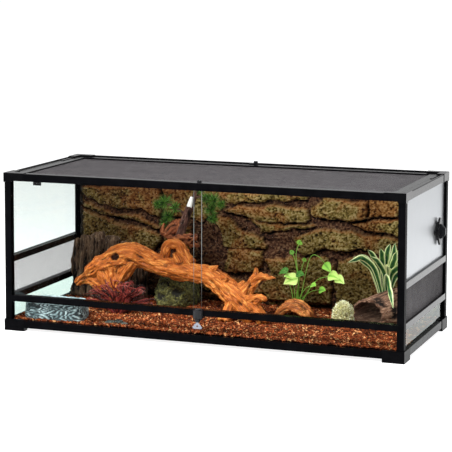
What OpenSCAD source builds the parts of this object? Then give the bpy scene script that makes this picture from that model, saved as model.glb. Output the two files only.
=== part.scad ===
// Front-opening reptile terrarium: black framed glass tank with sliding doors, mesh lid,
// side vents, key lock, cable port and a furnished interior.
// Lengths in millimetres. The front faces -Y, the floor is Z = 0.

/* [Tank] */
// Outside width over the frame rails
tank_w = 1200; // [1080:10:1360]
// Outside depth over the frame rails
tank_d = 500; // [450:10:560]
// Height from the floor to the top of the rails
tank_h = 463; // [450:1:520]
// Depth and width of every frame member
rail_w = 21; // [20:0.5:24]

/* [Feet and caps] */
// Length of each arm of a corner foot
foot_arm = 63; // [50:1:80]
// Height of a corner foot
foot_h = 33.5; // [33:0.5:40]
// How far a foot stands proud of the rails
foot_proud = 1.5; // [1:0.1:3]
// Length of each arm of a top corner cap
cap_arm = 63; // [50:1:80]
// How far a cap stands proud of the rails
cap_proud = 1.2; // [1:0.1:2]
// Depth of the cap collar below the top rails
cap_collar = 4; // [2:0.5:8]

/* [Rails and bars] */
// Clearance under the bottom rails
rail_lift = 10; // [8:0.5:14]
// Height of the bottom rails
bottom_rail_h = 22; // [20:0.5:22.5]
// Height of the top rails
top_rail_h = 22; // [21:0.5:26]
// Height of the outer lip above the shelf of the top rails
lip_h = 3.5; // [2.5:0.5:5]
// Width of the outer lip of the top rails
lip_w = 4; // [3.5:0.25:5]
// Width of the flange that carries the lid
flange_w = 10; // [8:0.5:14]
// Thickness of the flange that carries the lid
flange_t = 3; // [2:0.5:4]
// Inset of posts and bars from the face of the rails
post_inset = 1; // [0.5:0.25:1.5]
// Height of the underside of the front door bar
door_bar_z = 87; // [80:1:100]
// Height of every cross bar section
bar_h = 18; // [17:0.5:22]
// Height of the underside of the lower side bars
side_bar_low_z = 88; // [80:1:100]
// Height of the underside of the upper side bars
side_bar_high_z = 201; // [180:1:240]

/* [Glass] */
// Thickness of the wall panes and doors
pane_t = 4; // [3:0.5:4.5]
// Thickness of the base pane
base_t = 5; // [4:0.5:6]
// Height of the underside of the base pane
base_z = 16; // [14:0.5:17]
// Setback of the wall panes behind the face of the rails
pane_setback = 8.5; // [8:0.25:9]
// Depth of the pane grooves
groove_d = 6; // [4:0.5:6]
// Clearance round a pane in its groove
pane_clear = 0.25; // [0.15:0.05:0.4]

/* [Doors] */
// Width of each door track
track_w = 5; // [5:0.1:5.4]
// Distance from the rail face to the front track
track_lip = 3.6; // [3.2:0.1:4]
// Depth of the upper door tracks
track_top_d = 8; // [7:0.5:9]
// Depth of the lower door tracks
track_low_d = 5; // [4:0.5:6]
// Overlap of the two doors in the middle
door_overlap = 27; // [20:1:60]
// How far a door reaches into its post
door_bite = 5; // [3:0.5:5.5]
// How far a closed door reaches into its upper track
door_top_bite = 2.5; // [2:0.25:3]
// Running clearance under a door
door_float = 0.3; // [0.2:0.1:0.5]

/* [Lid] */
// Width of the lid frame bars
lid_bar_w = 24.5; // [18:0.5:30]
// Height of the lid frame bars
lid_h = 6.5; // [5.5:0.25:7]
// Clearance round the lid
lid_gap = 0.5; // [0.3:0.1:1]
// Thickness of every mesh
mesh_t = 1.2; // [0.8:0.1:1.5]
// Height of the lid mesh above the underside of the lid
lid_mesh_up = 1; // [0.8:0.1:2]
// Openings of the lid mesh along the tank
lid_mesh_nx = 27; // [10:1:27]
// Openings of the lid mesh across the tank
lid_mesh_ny = 11; // [4:1:11]
// Width of the wires of every mesh
wire_w = 2.2; // [1.5:0.1:3]
// Spacing of the side vent openings
vent_pitch = 22; // [15:1:30]

/* [Latches] */
// Offset of the turn latches to the right of the middle
latch_x = 4; // [-40:1:40]
// Radius of the latch knob
latch_r = 6.5; // [5:0.25:7]
// Reach of the latch tongue from its pivot
latch_reach = 22; // [18:1:30]
// Width of the latch tongue
tongue_w = 10; // [6:0.5:11]
// Thickness of the latch tongue
tongue_t = 2.6; // [2:0.1:4]
// Height of the latch knob above its tongue
knob_h = 7; // [5:0.5:10]
// Radius of the latch pivot
pivot_r = 2.5; // [2:0.25:3]
// Running clearance of turning parts
run_clear = 0.05; // [0.03:0.01:0.08]

/* [Lock] */
// Offset of the lock to the right of the middle
lock_x = 6; // [-5:1:20]
// Radius of the lock housing
lock_r = 15.5; // [13:0.5:18]
// Height of the lower end of the housing
lock_z = 71; // [66:0.5:74]
// Radius of the lock cylinder
cylinder_r = 5; // [4:0.25:5.5]
// Distance from the bar face to the axis of the cylinder
cylinder_out = 8; // [7.75:0.25:9]
// Width of the key bow
bow_w = 28; // [20:1:32]
// Height of the key bow
bow_h = 15; // [12:0.5:18]
// Thickness of the key
key_t = 2; // [1.5:0.1:2.5]

/* [Cable port] */
// Distance of the port behind the middle of the tank
port_y = 150; // [80:1:160]
// Height of the port centre
port_z = 302; // [290:1:360]
// Reach of the two lobes of the port flange and of its cover
port_r = 40; // [36:1:44]
// Radius of the round middle of flange and cover
port_mid_r = 27; // [26.5:0.5:30]
// Radius of the end of each lobe
port_lobe_r = 8; // [6:0.5:10]
// Radius of the port neck
neck_r = 24; // [20:0.5:26]
// Radius of the port bore
port_bore_r = 17; // [15:0.5:18]
// Thickness of the port flange
port_flange_t = 4; // [3:0.25:5]
// Depth of the port neck inside the pane
neck_in = 9; // [8:0.5:12]
// Height of the turning cover outside its flange
cover_out = 21; // [16:0.5:26]
// Thickness of the turning cover's plate
cover_t = 5.5; // [4:0.5:7]
// Thickness of the grip across the cover
grip_t = 8; // [6:0.5:9]

/* [Cable inlets] */
// Length of each inlet slot
inlet_l = 60; // [40:1:80]
// Width of each inlet slot
inlet_w = 5.5; // [4:0.25:6]
// Distance between a closed shutter and the back cap
inlet_gap = 8; // [3:0.5:40]
// Length of the shutter plate past the slot at each end
shutter_lap = 10; // [6:1:12]

/* [Door stop clip] */
// Distance of the clip from the left end of the tank
clip_in = 102; // [80:1:160]
// Width of the clip
clip_w = 25; // [15:1:30]
// How far the clip hangs below its rail
clip_drop = 11; // [6:1:16]

/* [Interior] */
// Depth of the bark chips on the base pane
chips_d = 11.5; // [11.5:0.5:20]
// Greatest depth of the rock relief
rock_d = 50; // [35:1:50]
// Width of the cork slab
cork_w = 275; // [220:5:290]
// Width of the water dish
dish_w = 186; // [150:1:200]
// Depth of the water dish, front to back
dish_d = 137; // [110:1:140]
// Height of the water dish
dish_h = 49; // [35:1:55]
// Wall thickness of the water dish
dish_wall = 11; // [8:1:14]

/* [Hidden] */

// Frame
frame_black = [0.045, 0.045, 0.05];
cap_black = [0.06, 0.06, 0.065];
glass_clear = [0.72, 0.86, 0.84, 0.35];
steel = [0.75, 0.76, 0.78];
fit_gap = 0.1;               // slip fit between frame members
hx = tank_w / 2;
hy = tank_d / 2;
inner_x = hx - rail_w;       // inner faces of rails and posts
inner_y = hy - rail_w;
rail_top = rail_lift + bottom_rail_h;
top_z = tank_h - top_rail_h; // underside of the top rails
shelf_z = tank_h - lip_h;
flange_top = shelf_z - lid_h;
edge_r = 3;                  // rounding of the top outer edge
post_sink = 20;              // length of post inside the foot
post_foot_z = foot_h - post_sink;
post_top_z = tank_h - 8;
collar_z = top_z - cap_collar;
cap_top = tank_h + cap_proud;

// Panes
pane_in = pane_setback + pane_t;              // inner face of a wall pane
pane_x = hx - pane_in;
pane_y = hy - pane_in;
edge_x = inner_x + groove_d;                  // where pane edges end in the posts
edge_y = inner_y + groove_d;
vent_z0 = side_bar_low_z + bar_h;
vent_groove = 4;
bar_top = door_bar_z + bar_h;

// Corner screws, up through the feet and down through the caps
screw_r = 2;
head_r = 4;
head_h = 2.4;
screw_in = 16;                                // engagement in the post
screw_x = hx - 7.7;
screw_y = hy - 7.7;

// Doors: the left door runs in the front track, the right door in the rear one
track_web = rail_w - 2 * track_lip - 2 * track_w;
front_track = track_lip;
rear_track = track_lip + track_w + track_web;
door_slack = (track_w - pane_t) / 2;
door_z0 = bar_top - track_low_d + door_float;
door_z1 = top_z + door_top_bite;
door_edge = inner_x + door_bite;

// Lid
lid_x = hx - rail_w - lid_gap;
lid_y = hy - rail_w - lid_gap;
lid_z = flange_top;
lid_in_x = lid_x - lid_bar_w;
lid_in_y = lid_y - lid_bar_w;
lid_mesh_z = lid_z + lid_mesh_up;
lid_mesh_bite = 5;

// Latches and lock
shelf_mid = (lip_w + rail_w) / 2;             // depth of the latch pivots
latch_lift = 0.3;
pivot_d = 8;
bar_face = hy - post_inset;
plug_top = bar_top + 2;
bow_z = lock_z - 4 - bow_h;
bow_r = 4;
barrel_r = cylinder_r + 2.4;
barrel_top = lock_z + 9;
blade_w = 7;
blade_in = 18;

// Port
flange_x = hx - pane_setback;                 // outer face of the right pane
port_hole_clear = 0.5;
nut_t = 6;
hub_holes_r = 4;                              // cable holes through cover and neck web
hub_holes_at = 10.5;
web_t = 2;

// Inlets and door stop clip
shutter_half = inlet_l / 2 + shutter_lap;
inlet_y = hy + cap_proud - cap_arm - inlet_gap - shutter_half;
clip_leg = 2.4;

// Where the centre of the whole outline lies: the port cover stands out on the right, the
// lock in front
out_left = hx + foot_proud;
out_right = max(flange_x + cover_out + port_flange_t, out_left);
out_front = max(bar_face + lock_r, hy + foot_proud);
out_back = hy + foot_proud;
origin_x = (out_left - out_right) / 2;
origin_y = (out_front - out_back) / 2;

// Interior
ground = base_z + base_t + chips_d;           // level of the bark chips
seat = ground + 0.2;                          // what stands on them
rock_back = pane_y - 0.3;
rock_z0 = max(ground, rail_top, foot_h) + 0.3;
rock_z1 = top_z - 1;
rock_front = rock_back - rock_d;
rock_skin = 12;                               // least thickness of the relief
rock_foot_d = 19;                             // thickness at the foot of the rock
boulder_top = 126;

module part(c) color(c) translate([origin_x, origin_y, 0]) children();
module span(lo, hi) translate(lo) cube(hi - lo);
module at_corner(sx, sy) mirror([sx < 0 ? 1 : 0, 0, 0]) mirror([0, sy < 0 ? 1 : 0, 0]) children();

// Runs a section, drawn as depth from the outer face and height, along one wall
module along_x(half, sy = -1)
    mirror([0, sy > 0 ? 1 : 0, 0]) translate([0, -hy, 0]) rotate([90, 0, 90])
        linear_extrude(2 * half, center = true) children();
module along_y(half, sx = -1)
    mirror([sx > 0 ? 1 : 0, 0, 0]) translate([-hx, 0, 0]) rotate([90, 0, 0])
        linear_extrude(2 * half, center = true) children();

// ---- Space taken by the panes, which cuts every groove ----
module pane_block(lo, hi, c) span(lo - [c, c, 0], hi + [c, c, c]);
module base_block(c) pane_block([-edge_x, -edge_y, base_z], [edge_x, edge_y, base_z + base_t], c);
module back_block(c)
    pane_block([-edge_x, pane_y, rail_top - groove_d], [edge_x, pane_y + pane_t, top_z + groove_d], c);
module lower_front_block(c)
    pane_block([-edge_x, -pane_y - pane_t, rail_top - groove_d],
        [edge_x, -pane_y, door_bar_z + groove_d], c);
module side_block(sx, z0, z1, c)
    pane_block([sx > 0 ? pane_x : -pane_x - pane_t, -edge_y, z0],
        [sx > 0 ? pane_x + pane_t : -pane_x, edge_y, z1], c);
module lower_side_block(sx, c) side_block(sx, rail_top - groove_d, side_bar_low_z + groove_d, c);
module upper_side_block(sx, c)
    side_block(sx, side_bar_high_z + bar_h - groove_d, top_z + groove_d, c);
module vent_block(sx, c) {
    mid = hx - pane_setback - pane_t / 2;
    pane_block([sx > 0 ? mid - mesh_t / 2 : -mid - mesh_t / 2, -inner_y - vent_groove,
            vent_z0 - vent_groove],
        [sx > 0 ? mid + mesh_t / 2 : -mid + mesh_t / 2, inner_y + vent_groove,
            side_bar_high_z + vent_groove], c);
}
module pane_room() {
    base_block(pane_clear);
    back_block(pane_clear);
    lower_front_block(pane_clear);
    for (sx = [-1, 1]) {
        lower_side_block(sx, pane_clear);
        upper_side_block(sx, pane_clear);
        vent_block(sx, pane_clear);
    }
    // door channels in the front posts
    for (side = [-1, 1])
        translate([side * (door_edge / 2 + 1), 0, 0])
            span([-door_edge / 2 - 1.5, -hy + (side < 0 ? front_track : rear_track),
                    door_z0 - door_float],
                [door_edge / 2 + 1.5, -hy + (side < 0 ? front_track : rear_track) + track_w,
                    door_z1 + 5]);
}

// ---- Frame ----
module bottom_section(g = 0)
    translate([-g, rail_lift - g]) square([rail_w + 2 * g, bottom_rail_h + 2 * g]);

module top_section(g = 0) {
    difference() {
        union() {
            translate([-g, top_z - g]) square([rail_w + 2 * g, shelf_z - top_z + 2 * g]);
            translate([edge_r, top_z]) square([lip_w - edge_r + g, top_rail_h + g]);
            translate([-g, top_z]) square([lip_w + g, top_rail_h - edge_r]);
            translate([edge_r, tank_h - edge_r]) circle(edge_r + g, $fn = 48);
        }
        translate([lip_w + g, shelf_z + g]) square([rail_w, 2 * lip_h + 1]);
    }
}
module flange_section(g = 0)
    translate([rail_w - 1, flange_top - flange_t - g]) square([flange_w + 1 + g, flange_t + 2 * g]);

module bottom_rail(sx, sy) {
    part(frame_black) difference() {
        if (sx == 0) along_x(inner_x - fit_gap, sy) bottom_section();
        else along_y(inner_y - fit_gap, sx) bottom_section();
        pane_room();
    }
}

// The clip passes up between the two door tracks
module at_clip() translate([clip_in - hx, rail_w / 2 - hy, 0]) children();
module clip_slot(c) at_clip()
    span([-clip_w / 2 - c, -clip_leg / 2 - c, top_z - 1], [clip_w / 2 + c, clip_leg / 2 + c, shelf_z + 1]);

module latch_hole(sy)
    translate([latch_x, sy * (hy - shelf_mid), shelf_z - pivot_d - 0.5])
        cylinder(h = pivot_d + 2, r = pivot_r + run_clear, $fn = 48);

module inlet_slot(sx)
    translate([sx * (hx - rail_w + inlet_w / 2 + 1), inlet_y, 0])
        span([-inlet_w / 2, -inlet_l / 2, top_z - 1], [inlet_w / 2, inlet_l / 2, shelf_z + 1]);

module top_rail(sx, sy) {
    long_half = inner_x - fit_gap;
    part(frame_black) difference() {
        union() {
            if (sx == 0) {
                along_x(long_half, sy) top_section();
                along_x(inner_x - flange_w - 2 * fit_gap, sy) flange_section();
            } else {
                along_y(inner_y - fit_gap, sx) top_section();
                along_y(inner_y - fit_gap, sx) flange_section();
            }
        }
        pane_room();
        if (sy < 0)
            for (t = [front_track, rear_track])
                span([-hx, -hy + t, top_z - 1], [hx, -hy + t + track_w, top_z + track_top_d]);
        if (sy != 0) latch_hole(sy);
        if (sy < 0) clip_slot(0.2);
        if (sx != 0) inlet_slot(sx);
    }
}

module post(sx, sy) {
    part(frame_black) difference() {
        at_corner(sx, sy) difference() {
            span([inner_x, inner_y, post_foot_z], [hx - post_inset, hy - post_inset, post_top_z]);
            translate([hx - post_inset, hy - post_inset, 0]) rotate(45)
                cube([1.4, 1.4, 3 * tank_h], center = true);
        }
        pane_room();
        at_corner(sx, sy) screw_holes(screw_r + 0.15);
    }
}

// L-shaped corner block: the outer faces stand proud, the inner faces line up with the rails
module corner_block(arm, proud, z0, z1) {
    span([inner_x, inner_y, z0], [hx + proud, hy + proud, z1]);
    span([hx + proud - arm, inner_y, z0], [hx + proud, hy + proud, z1]);
    span([inner_x, hy + proud - arm, z0], [hx + proud, hy + proud, z1]);
}
module post_room(g)
    span([inner_x - g, inner_y - g, post_foot_z], [hx - post_inset + g, hy - post_inset + g, post_top_z]);

module screw_holes(r) {
    translate([screw_x, screw_y, -1]) cylinder(h = post_foot_z + screw_in + 2, r = r, $fn = 32);
    translate([screw_x, screw_y, post_top_z - screw_in - 1])
        cylinder(h = screw_in + 20, r = r, $fn = 32);
}

module foot(sx, sy) {
    part(cap_black) difference() {
        at_corner(sx, sy) difference() {
            corner_block(foot_arm, foot_proud, 0, foot_h);
            post_room(fit_gap);
            screw_holes(screw_r + 0.15);
            translate([screw_x, screw_y, -1]) cylinder(h = head_h + 2, r = head_r + 0.4, $fn = 40);
        }
        along_x(inner_x, sy) { bottom_section(fit_gap); foot_lip_cut(); }
        along_y(inner_y, sx) { bottom_section(fit_gap); foot_lip_cut(); }
        pane_room();
    }
}
// The foot laps over the top of a rail only as far in as the glass
module foot_lip_cut()
    translate([pane_setback - pane_clear, rail_top - 1]) square([rail_w, foot_h]);

module cap(sx, sy) {
    part(cap_black) difference() {
        at_corner(sx, sy) difference() {
            union() {
                corner_block(cap_arm, cap_proud, top_z, cap_top);
                span([inner_x, inner_y, collar_z], [hx + cap_proud, hy + cap_proud, cap_top]);
            }
            post_room(fit_gap);
            screw_holes(screw_r + 0.15);
            translate([screw_x, screw_y, cap_top - head_h - 0.3])
                cylinder(h = head_h + 1, r = head_r + 0.4, $fn = 40);
        }
        along_x(inner_x, sy) { top_section(fit_gap); flange_section(fit_gap); }
        along_y(inner_y, sx) { top_section(fit_gap); flange_section(fit_gap); }
        along_x(inner_x, sy) translate([0, top_z - 1]) square([rail_w, 2]);
        along_y(inner_y, sx) translate([0, top_z - 1]) square([rail_w, 2]);
        pane_room();
    }
}

// Pan-head screw pointing up from z = 0, with a cross recess
module screw() {
    difference() {
        cylinder(h = head_h, r = head_r, $fn = 40);
        for (a = [0, 90]) rotate(a) translate([0, 0, 0.5]) cube([4.6, 0.9, 1.4], center = true);
    }
    translate([0, 0, head_h - 0.5]) cylinder(h = post_foot_z + screw_in - head_h, r = screw_r, $fn = 32);
}
module corner_screws() {
    part(steel) for (sx = [-1, 1], sy = [-1, 1]) at_corner(sx, sy) {
        translate([screw_x, screw_y, 0.6]) screw();
        translate([screw_x, screw_y, cap_top - 0.2]) mirror([0, 0, 1]) {
            difference() {
                cylinder(h = head_h, r = head_r, $fn = 40);
                for (a = [0, 90]) rotate(a) translate([0, 0, 0.5])
                    cube([4.6, 0.9, 1.4], center = true);
            }
            translate([0, 0, head_h - 0.5])
                cylinder(h = cap_top - post_top_z + screw_in - head_h - 1, r = screw_r, $fn = 32);
        }
    }
}

module bar_section(z) translate([post_inset, z]) square([rail_w - post_inset, bar_h]);

module door_bar() {
    part(frame_black) difference() {
        along_x(inner_x) bar_section(door_bar_z);
        pane_room();
        for (t = [front_track, rear_track])
            span([-hx, -hy + t, bar_top - track_low_d], [hx, -hy + t + track_w, bar_top + 1]);
    }
}

module side_bars(sx) {
    part(frame_black) difference() {
        along_y(inner_y, sx) {
            bar_section(side_bar_low_z);
            bar_section(side_bar_high_z);
        }
        pane_room();
    }
}

// ---- Glass and mesh ----
module base_pane() part(glass_clear) base_block(0);
module back_pane() part(glass_clear) back_block(0);
module lower_front_pane() part(glass_clear) lower_front_block(0);
module lower_side_panes() part(glass_clear) for (sx = [-1, 1]) lower_side_block(sx, 0);

// Round hole through the right upper pane
module port_hole(r)
    translate([flange_x - pane_t - 1, port_y, port_z]) rotate([0, 90, 0])
        cylinder(h = pane_t + 2, r = r, $fn = 96);
module upper_pane(sx) {
    part(glass_clear) difference() {
        upper_side_block(sx, 0);
        if (sx > 0) port_hole(neck_r + port_hole_clear);
    }
}

// Flat square net lying in the XY plane, centred
module net(w, d, nx, ny) {
    px = w / nx;
    py = d / ny;
    linear_extrude(mesh_t) difference() {
        square([w + 2 * lid_mesh_bite, d + 2 * lid_mesh_bite], center = true);
        for (i = [0:nx - 1], j = [0:ny - 1])
            translate([-w / 2 + (i + 0.5) * px, -d / 2 + (j + 0.5) * py])
                square([px - wire_w, py - wire_w], center = true);
    }
}

module vent_mesh(sx) {
    w = 2 * inner_y;
    h = side_bar_high_z - vent_z0;
    x = sx * (hx - pane_setback - pane_t / 2) - mesh_t / 2;
    part([0.12, 0.12, 0.13])
        translate([x, 0, vent_z0 + h / 2]) rotate([90, 0, 90]) linear_extrude(mesh_t)
            difference() {
                square([w + 2 * vent_groove, h + 2 * vent_groove - 0.5], center = true);
                nx = round(w / vent_pitch);
                ny = round(h / vent_pitch);
                for (i = [0:nx - 1], j = [0:ny - 1])
                    translate([-w / 2 + (i + 0.5) * w / nx, -h / 2 + (j + 0.5) * h / ny])
                        square([w / nx - wire_w, h / ny - wire_w], center = true);
            }
}

module door(side) {
    t = (side < 0 ? front_track : rear_track) + door_slack;
    x0 = side < 0 ? -door_edge : -door_overlap / 2;
    part(glass_clear)
        span([x0, -hy + t, door_z0], [x0 + door_edge + door_overlap / 2, -hy + t + pane_t, door_z1]);
}

// ---- Lid ----
module lid_frame() {
    part(frame_black) difference() {
        translate([0, 0, lid_z]) linear_extrude(lid_h) difference() {
            square([2 * lid_x, 2 * lid_y], center = true);
            square([2 * lid_in_x, 2 * lid_in_y], center = true);
        }
        translate([0, 0, lid_mesh_z]) linear_extrude(mesh_t)
            square([2 * (lid_in_x + lid_mesh_bite), 2 * (lid_in_y + lid_mesh_bite)], center = true);
    }
}
module lid_mesh()
    part([0.14, 0.13, 0.15]) translate([0, 0, lid_mesh_z])
        net(2 * lid_in_x, 2 * lid_in_y, lid_mesh_nx, lid_mesh_ny);

// ---- Turn latches on the top rails, parallel to the rail when open ----
module latch(sy) {
    part([0.08, 0.08, 0.085]) translate([latch_x, sy * (hy - shelf_mid), shelf_z + latch_lift])
        rotate(sy < 0 ? 0 : 180) {
            linear_extrude(tongue_t) {
                translate([0, -tongue_w / 2]) square([latch_reach - tongue_w / 2, tongue_w]);
                translate([latch_reach - tongue_w / 2, 0]) circle(tongue_w / 2, $fn = 48);
                circle(latch_r, $fn = 48);
            }
            translate([0, 0, tongue_t]) rotate_extrude($fn = 64)
                polygon([[0, 0], [latch_r, 0], [latch_r, knob_h - 1.5], [latch_r - 1.5, knob_h],
                    [0, knob_h]]);
            translate([0, 0, -latch_lift - pivot_d])
                cylinder(h = pivot_d + latch_lift + 1, r = pivot_r, $fn = 48);
        }
}

// ---- Key lock on the front bar ----
module at_lock() translate([lock_x, -bar_face - cylinder_out, 0]) children();
module lock_housing() {
    part([0.07, 0.07, 0.075]) difference() {
        union() {
            intersection() {
                translate([lock_x, -bar_face, 0]) rotate_extrude($fn = 96)
                    polygon([[0, barrel_top - 4], [lock_r - 6, barrel_top - 4], [lock_r, barrel_top + 2],
                        [lock_r, bar_top], [0, bar_top]]);
                span([-hx, -hy - 2 * lock_r, 0], [hx, -bar_face, tank_h]);
            }
            // barrel round the cylinder
            at_lock() rotate_extrude($fn = 96)
                polygon([[0, lock_z], [barrel_r - 2, lock_z], [barrel_r, lock_z + 2],
                    [barrel_r, barrel_top], [0, barrel_top]]);
            // bracket over the bar, down to its front lip
            span([lock_x - lock_r + 2, -bar_face - 6, bar_top],
                [lock_x + lock_r - 2, -hy + track_lip, bar_top + 2]);
            at_lock() translate([0, 0, bar_top - 1]) cylinder(h = 3, r = barrel_r, $fn = 96);
        }
        at_lock() translate([0, 0, lock_z - 1])
            cylinder(h = plug_top - lock_z + 2, r = cylinder_r + run_clear, $fn = 64);
    }
}
// Cylinder with the cam on top: its nose swings round to the face of the front door
module lock_cylinder() {
    nose = bar_face + cylinder_out - (hy - track_lip - door_slack) - 0.5;
    part([0.55, 0.56, 0.58]) at_lock() difference() {
        union() {
            translate([0, 0, lock_z + 0.5]) cylinder(h = plug_top - lock_z, r = cylinder_r, $fn = 64);
            translate([0, 0, plug_top + 0.3]) linear_extrude(3) {
                circle(cylinder_r + 1, $fn = 64);
                translate([0, -3]) square([nose - 3, 6]);
                translate([nose - 3, 0]) circle(3, $fn = 48);
            }
        }
        // slot for the key blade
        translate([0, 0, lock_z]) cube([blade_w + 0.3, key_t + 0.3, 2 * blade_in], center = true);
    }
}
module key() {
    part(steel) at_lock() {
        difference() {
            rotate([90, 0, 0]) linear_extrude(key_t, center = true) difference() {
                union() {
                    translate([0, bow_z + bow_h / 2 - 1]) square([bow_w - 8, bow_h - 4], center = true);
                    for (s = [-1, 1], r = [4])
                        translate([s * (bow_w / 2 - r), bow_z + r]) circle(r, $fn = 48);
                    translate([0, bow_z + bow_r]) square([bow_w - 8, 2 * bow_r], center = true);
                    polygon([[-bow_w / 2 + 1, bow_z + 6], [bow_w / 2 - 1, bow_z + 6],
                        [6, bow_z + bow_h], [-6, bow_z + bow_h]]);
                    translate([-blade_w / 2, bow_z + bow_h - 1]) square([blade_w, 6]);
                    translate([-blade_w / 2, bow_z + bow_h])
                        square([blade_w, lock_z - bow_z - bow_h + blade_in - 1]);
                }
                translate([0, bow_z + bow_h / 2]) circle(2.4, $fn = 40);
            }
        }
    }
}
// ---- Cable port in the right pane ----
module at_port() translate([flange_x, port_y, port_z]) rotate([0, 90, 0]) children();
module cable_holes(a) for (k = [0, 1]) rotate(a + 180 * k) translate([hub_holes_at, 0, 0])
    cylinder(h = 80, r = hub_holes_r, center = true, $fn = 40);
// Round middle with two lobes along the local X axis
module lobed() {
    reach = port_r - port_lobe_r;
    b = acos((port_mid_r - port_lobe_r) / reach);
    polygon(concat(
        [for (i = [0:10]) let(a = b * (i / 5 - 1)) [reach + port_lobe_r * cos(a), port_lobe_r * sin(a)]],
        [for (i = [0:12]) let(a = b + (180 - 2 * b) * i / 12) port_mid_r * [cos(a), sin(a)]],
        [for (i = [0:10]) let(a = 180 + b * (i / 5 - 1)) [-reach + port_lobe_r * cos(a), port_lobe_r * sin(a)]],
        [for (i = [0:12]) let(a = 180 + b + (180 - 2 * b) * i / 12) port_mid_r * [cos(a), sin(a)]]));
}
module port_flange() {
    part([0.09, 0.09, 0.095]) at_port() difference() {
        union() {
            linear_extrude(port_flange_t) rotate(90) lobed();
            translate([0, 0, -pane_t - neck_in]) cylinder(h = pane_t + neck_in + 1, r = neck_r, $fn = 96);
        }
        translate([0, 0, -pane_t - neck_in + web_t])
            cylinder(h = 60, r = port_bore_r, $fn = 96);
        cable_holes(90);
    }
}
module port_nut() {
    part([0.09, 0.09, 0.095]) at_port() translate([0, 0, -pane_t - nut_t]) linear_extrude(nut_t)
        difference() {
            union() {
                circle(neck_r + 8, $fn = 96);
                for (k = [0:7]) rotate(45 * k + 22.5) translate([neck_r + 6, 0]) circle(5, $fn = 40);
            }
            circle(neck_r + 0.15, $fn = 96);
        }
}
// Turning cover, its lobes upright; the grip tapers outwards
module port_cover() {
    hub_len = port_flange_t + pane_t + neck_in - web_t - 0.3;
    face = port_flange_t + 0.3;
    tip = port_flange_t + cover_out;
    part([0.11, 0.11, 0.115]) at_port() difference() {
        union() {
            translate([0, 0, port_flange_t - hub_len])
                cylinder(h = hub_len + 1, r = port_bore_r - run_clear, $fn = 96);
            translate([0, 0, face]) linear_extrude(cover_t) lobed();
            rotate([90, 0, 0]) linear_extrude(grip_t, center = true)
                polygon([[-23, face + cover_t - 1], [23, face + cover_t - 1], [20, face + cover_t + 4],
                    [9, tip], [-9, tip], [-20, face + cover_t + 4]]);
        }
        cable_holes(90);
    }
}

// ---- Sliding shutters over the cable inlets ----
module inlet_shutter(sx) {
    x = sx * (hx - rail_w + inlet_w / 2 + 1);
    lug_l = 10;
    part([0.1, 0.1, 0.105]) translate([x, inlet_y, shelf_z + 0.1]) {
        span([-inlet_w / 2 - 0.8, -shutter_half, 0], [inlet_w / 2 + 0.8, shutter_half, 1.6]);
        for (k = [-1, 0, 1])
            span([-inlet_w / 2, shutter_half - 8 + 2.4 * k, 1],
                [inlet_w / 2, shutter_half - 7 + 2.4 * k, 2.6]);
        span([-inlet_w / 2 + 0.3, inlet_l / 2 - lug_l - 0.5, -6],
            [inlet_w / 2 - 0.3, inlet_l / 2 - 0.5, 0.5]);
    }
}

module door_stop_clip() {
    part([0.07, 0.07, 0.075]) at_clip() {
        span([-clip_w / 2, -clip_leg / 2, top_z - clip_drop], [clip_w / 2, clip_leg / 2, shelf_z + 0.5]);
        span([-clip_w / 2 - 1.5, -2.5, shelf_z], [clip_w / 2 + 1.5, 2.5, shelf_z + 1.2]);
    }
}

// ---- Shapes for the interior ----
// Skin over a row of rings of equal size, anticlockwise seen from the far end
module loft(rings, closed = false) {
    n = len(rings[0]);
    m = len(rings);
    last = closed ? m - 1 : m - 2;
    polyhedron(
        points = [for (r = rings) each r],
        faces = concat(
            closed ? [] : [[for (i = [0:n - 1]) i]],
            [for (j = [0:last], i = [0:n - 1])
                let(a = j * n + i, b = ((j + 1) % m) * n + i,
                    c = ((j + 1) % m) * n + (i + 1) % n, d = j * n + (i + 1) % n)
                each [[a, b, c], [a, c, d]]],
            closed ? [] : [[for (i = [n - 1:-1:0]) (m - 1) * n + i]]),
        convexity = 10);
}
function unit(v) = v / norm(v);
function bend(a, b, c, d, t) =
    0.5 * (2 * b + (c - a) * t + (2 * a - 5 * b + 4 * c - d) * t * t + (3 * b - a - 3 * c + d) * t * t * t);
// Smooth run through the rows of P, k steps between two rows
function smooth(P, k) = [for (i = [0:len(P) - 2], s = [0:k - 1])
        bend(P[max(i - 1, 0)], P[i], P[i + 1], P[min(i + 2, len(P) - 1)], s / k), P[len(P) - 1]];
function place(v) = [v[0], v[1], v[2]];
// Uneven surface of wood: radius factor at angle a, station s
function gnarl(a, s, amp) =
    1 + amp * (0.55 * sin(3 * a + 47 * s) + 0.3 * sin(5 * a - 71 * s) + 0.35 * sin(2 * a + 113 * s));
// Limb through rows of [x, y, z, radius across, radius along ref]
module limb(P, sides = 10, k = 2, ref = [0, 1, 0], amp = 0.12) {
    Q = smooth(P, k);
    m = len(Q) - 1;
    loft([for (j = [0:m])
        let(t = unit(place(Q[min(j + 1, m)]) - place(Q[max(j - 1, 0)])),
            u = unit(cross(ref, t)), v = cross(t, u),
            ra = Q[j][3], rb = len(Q[j]) > 4 ? Q[j][4] : Q[j][3])
        [for (i = [0:sides - 1]) let(a = 360 * i / sides, g = gnarl(a, j, amp))
            place(Q[j]) + u * ra * g * cos(a) + v * rb * g * sin(a)]]);
}

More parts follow.
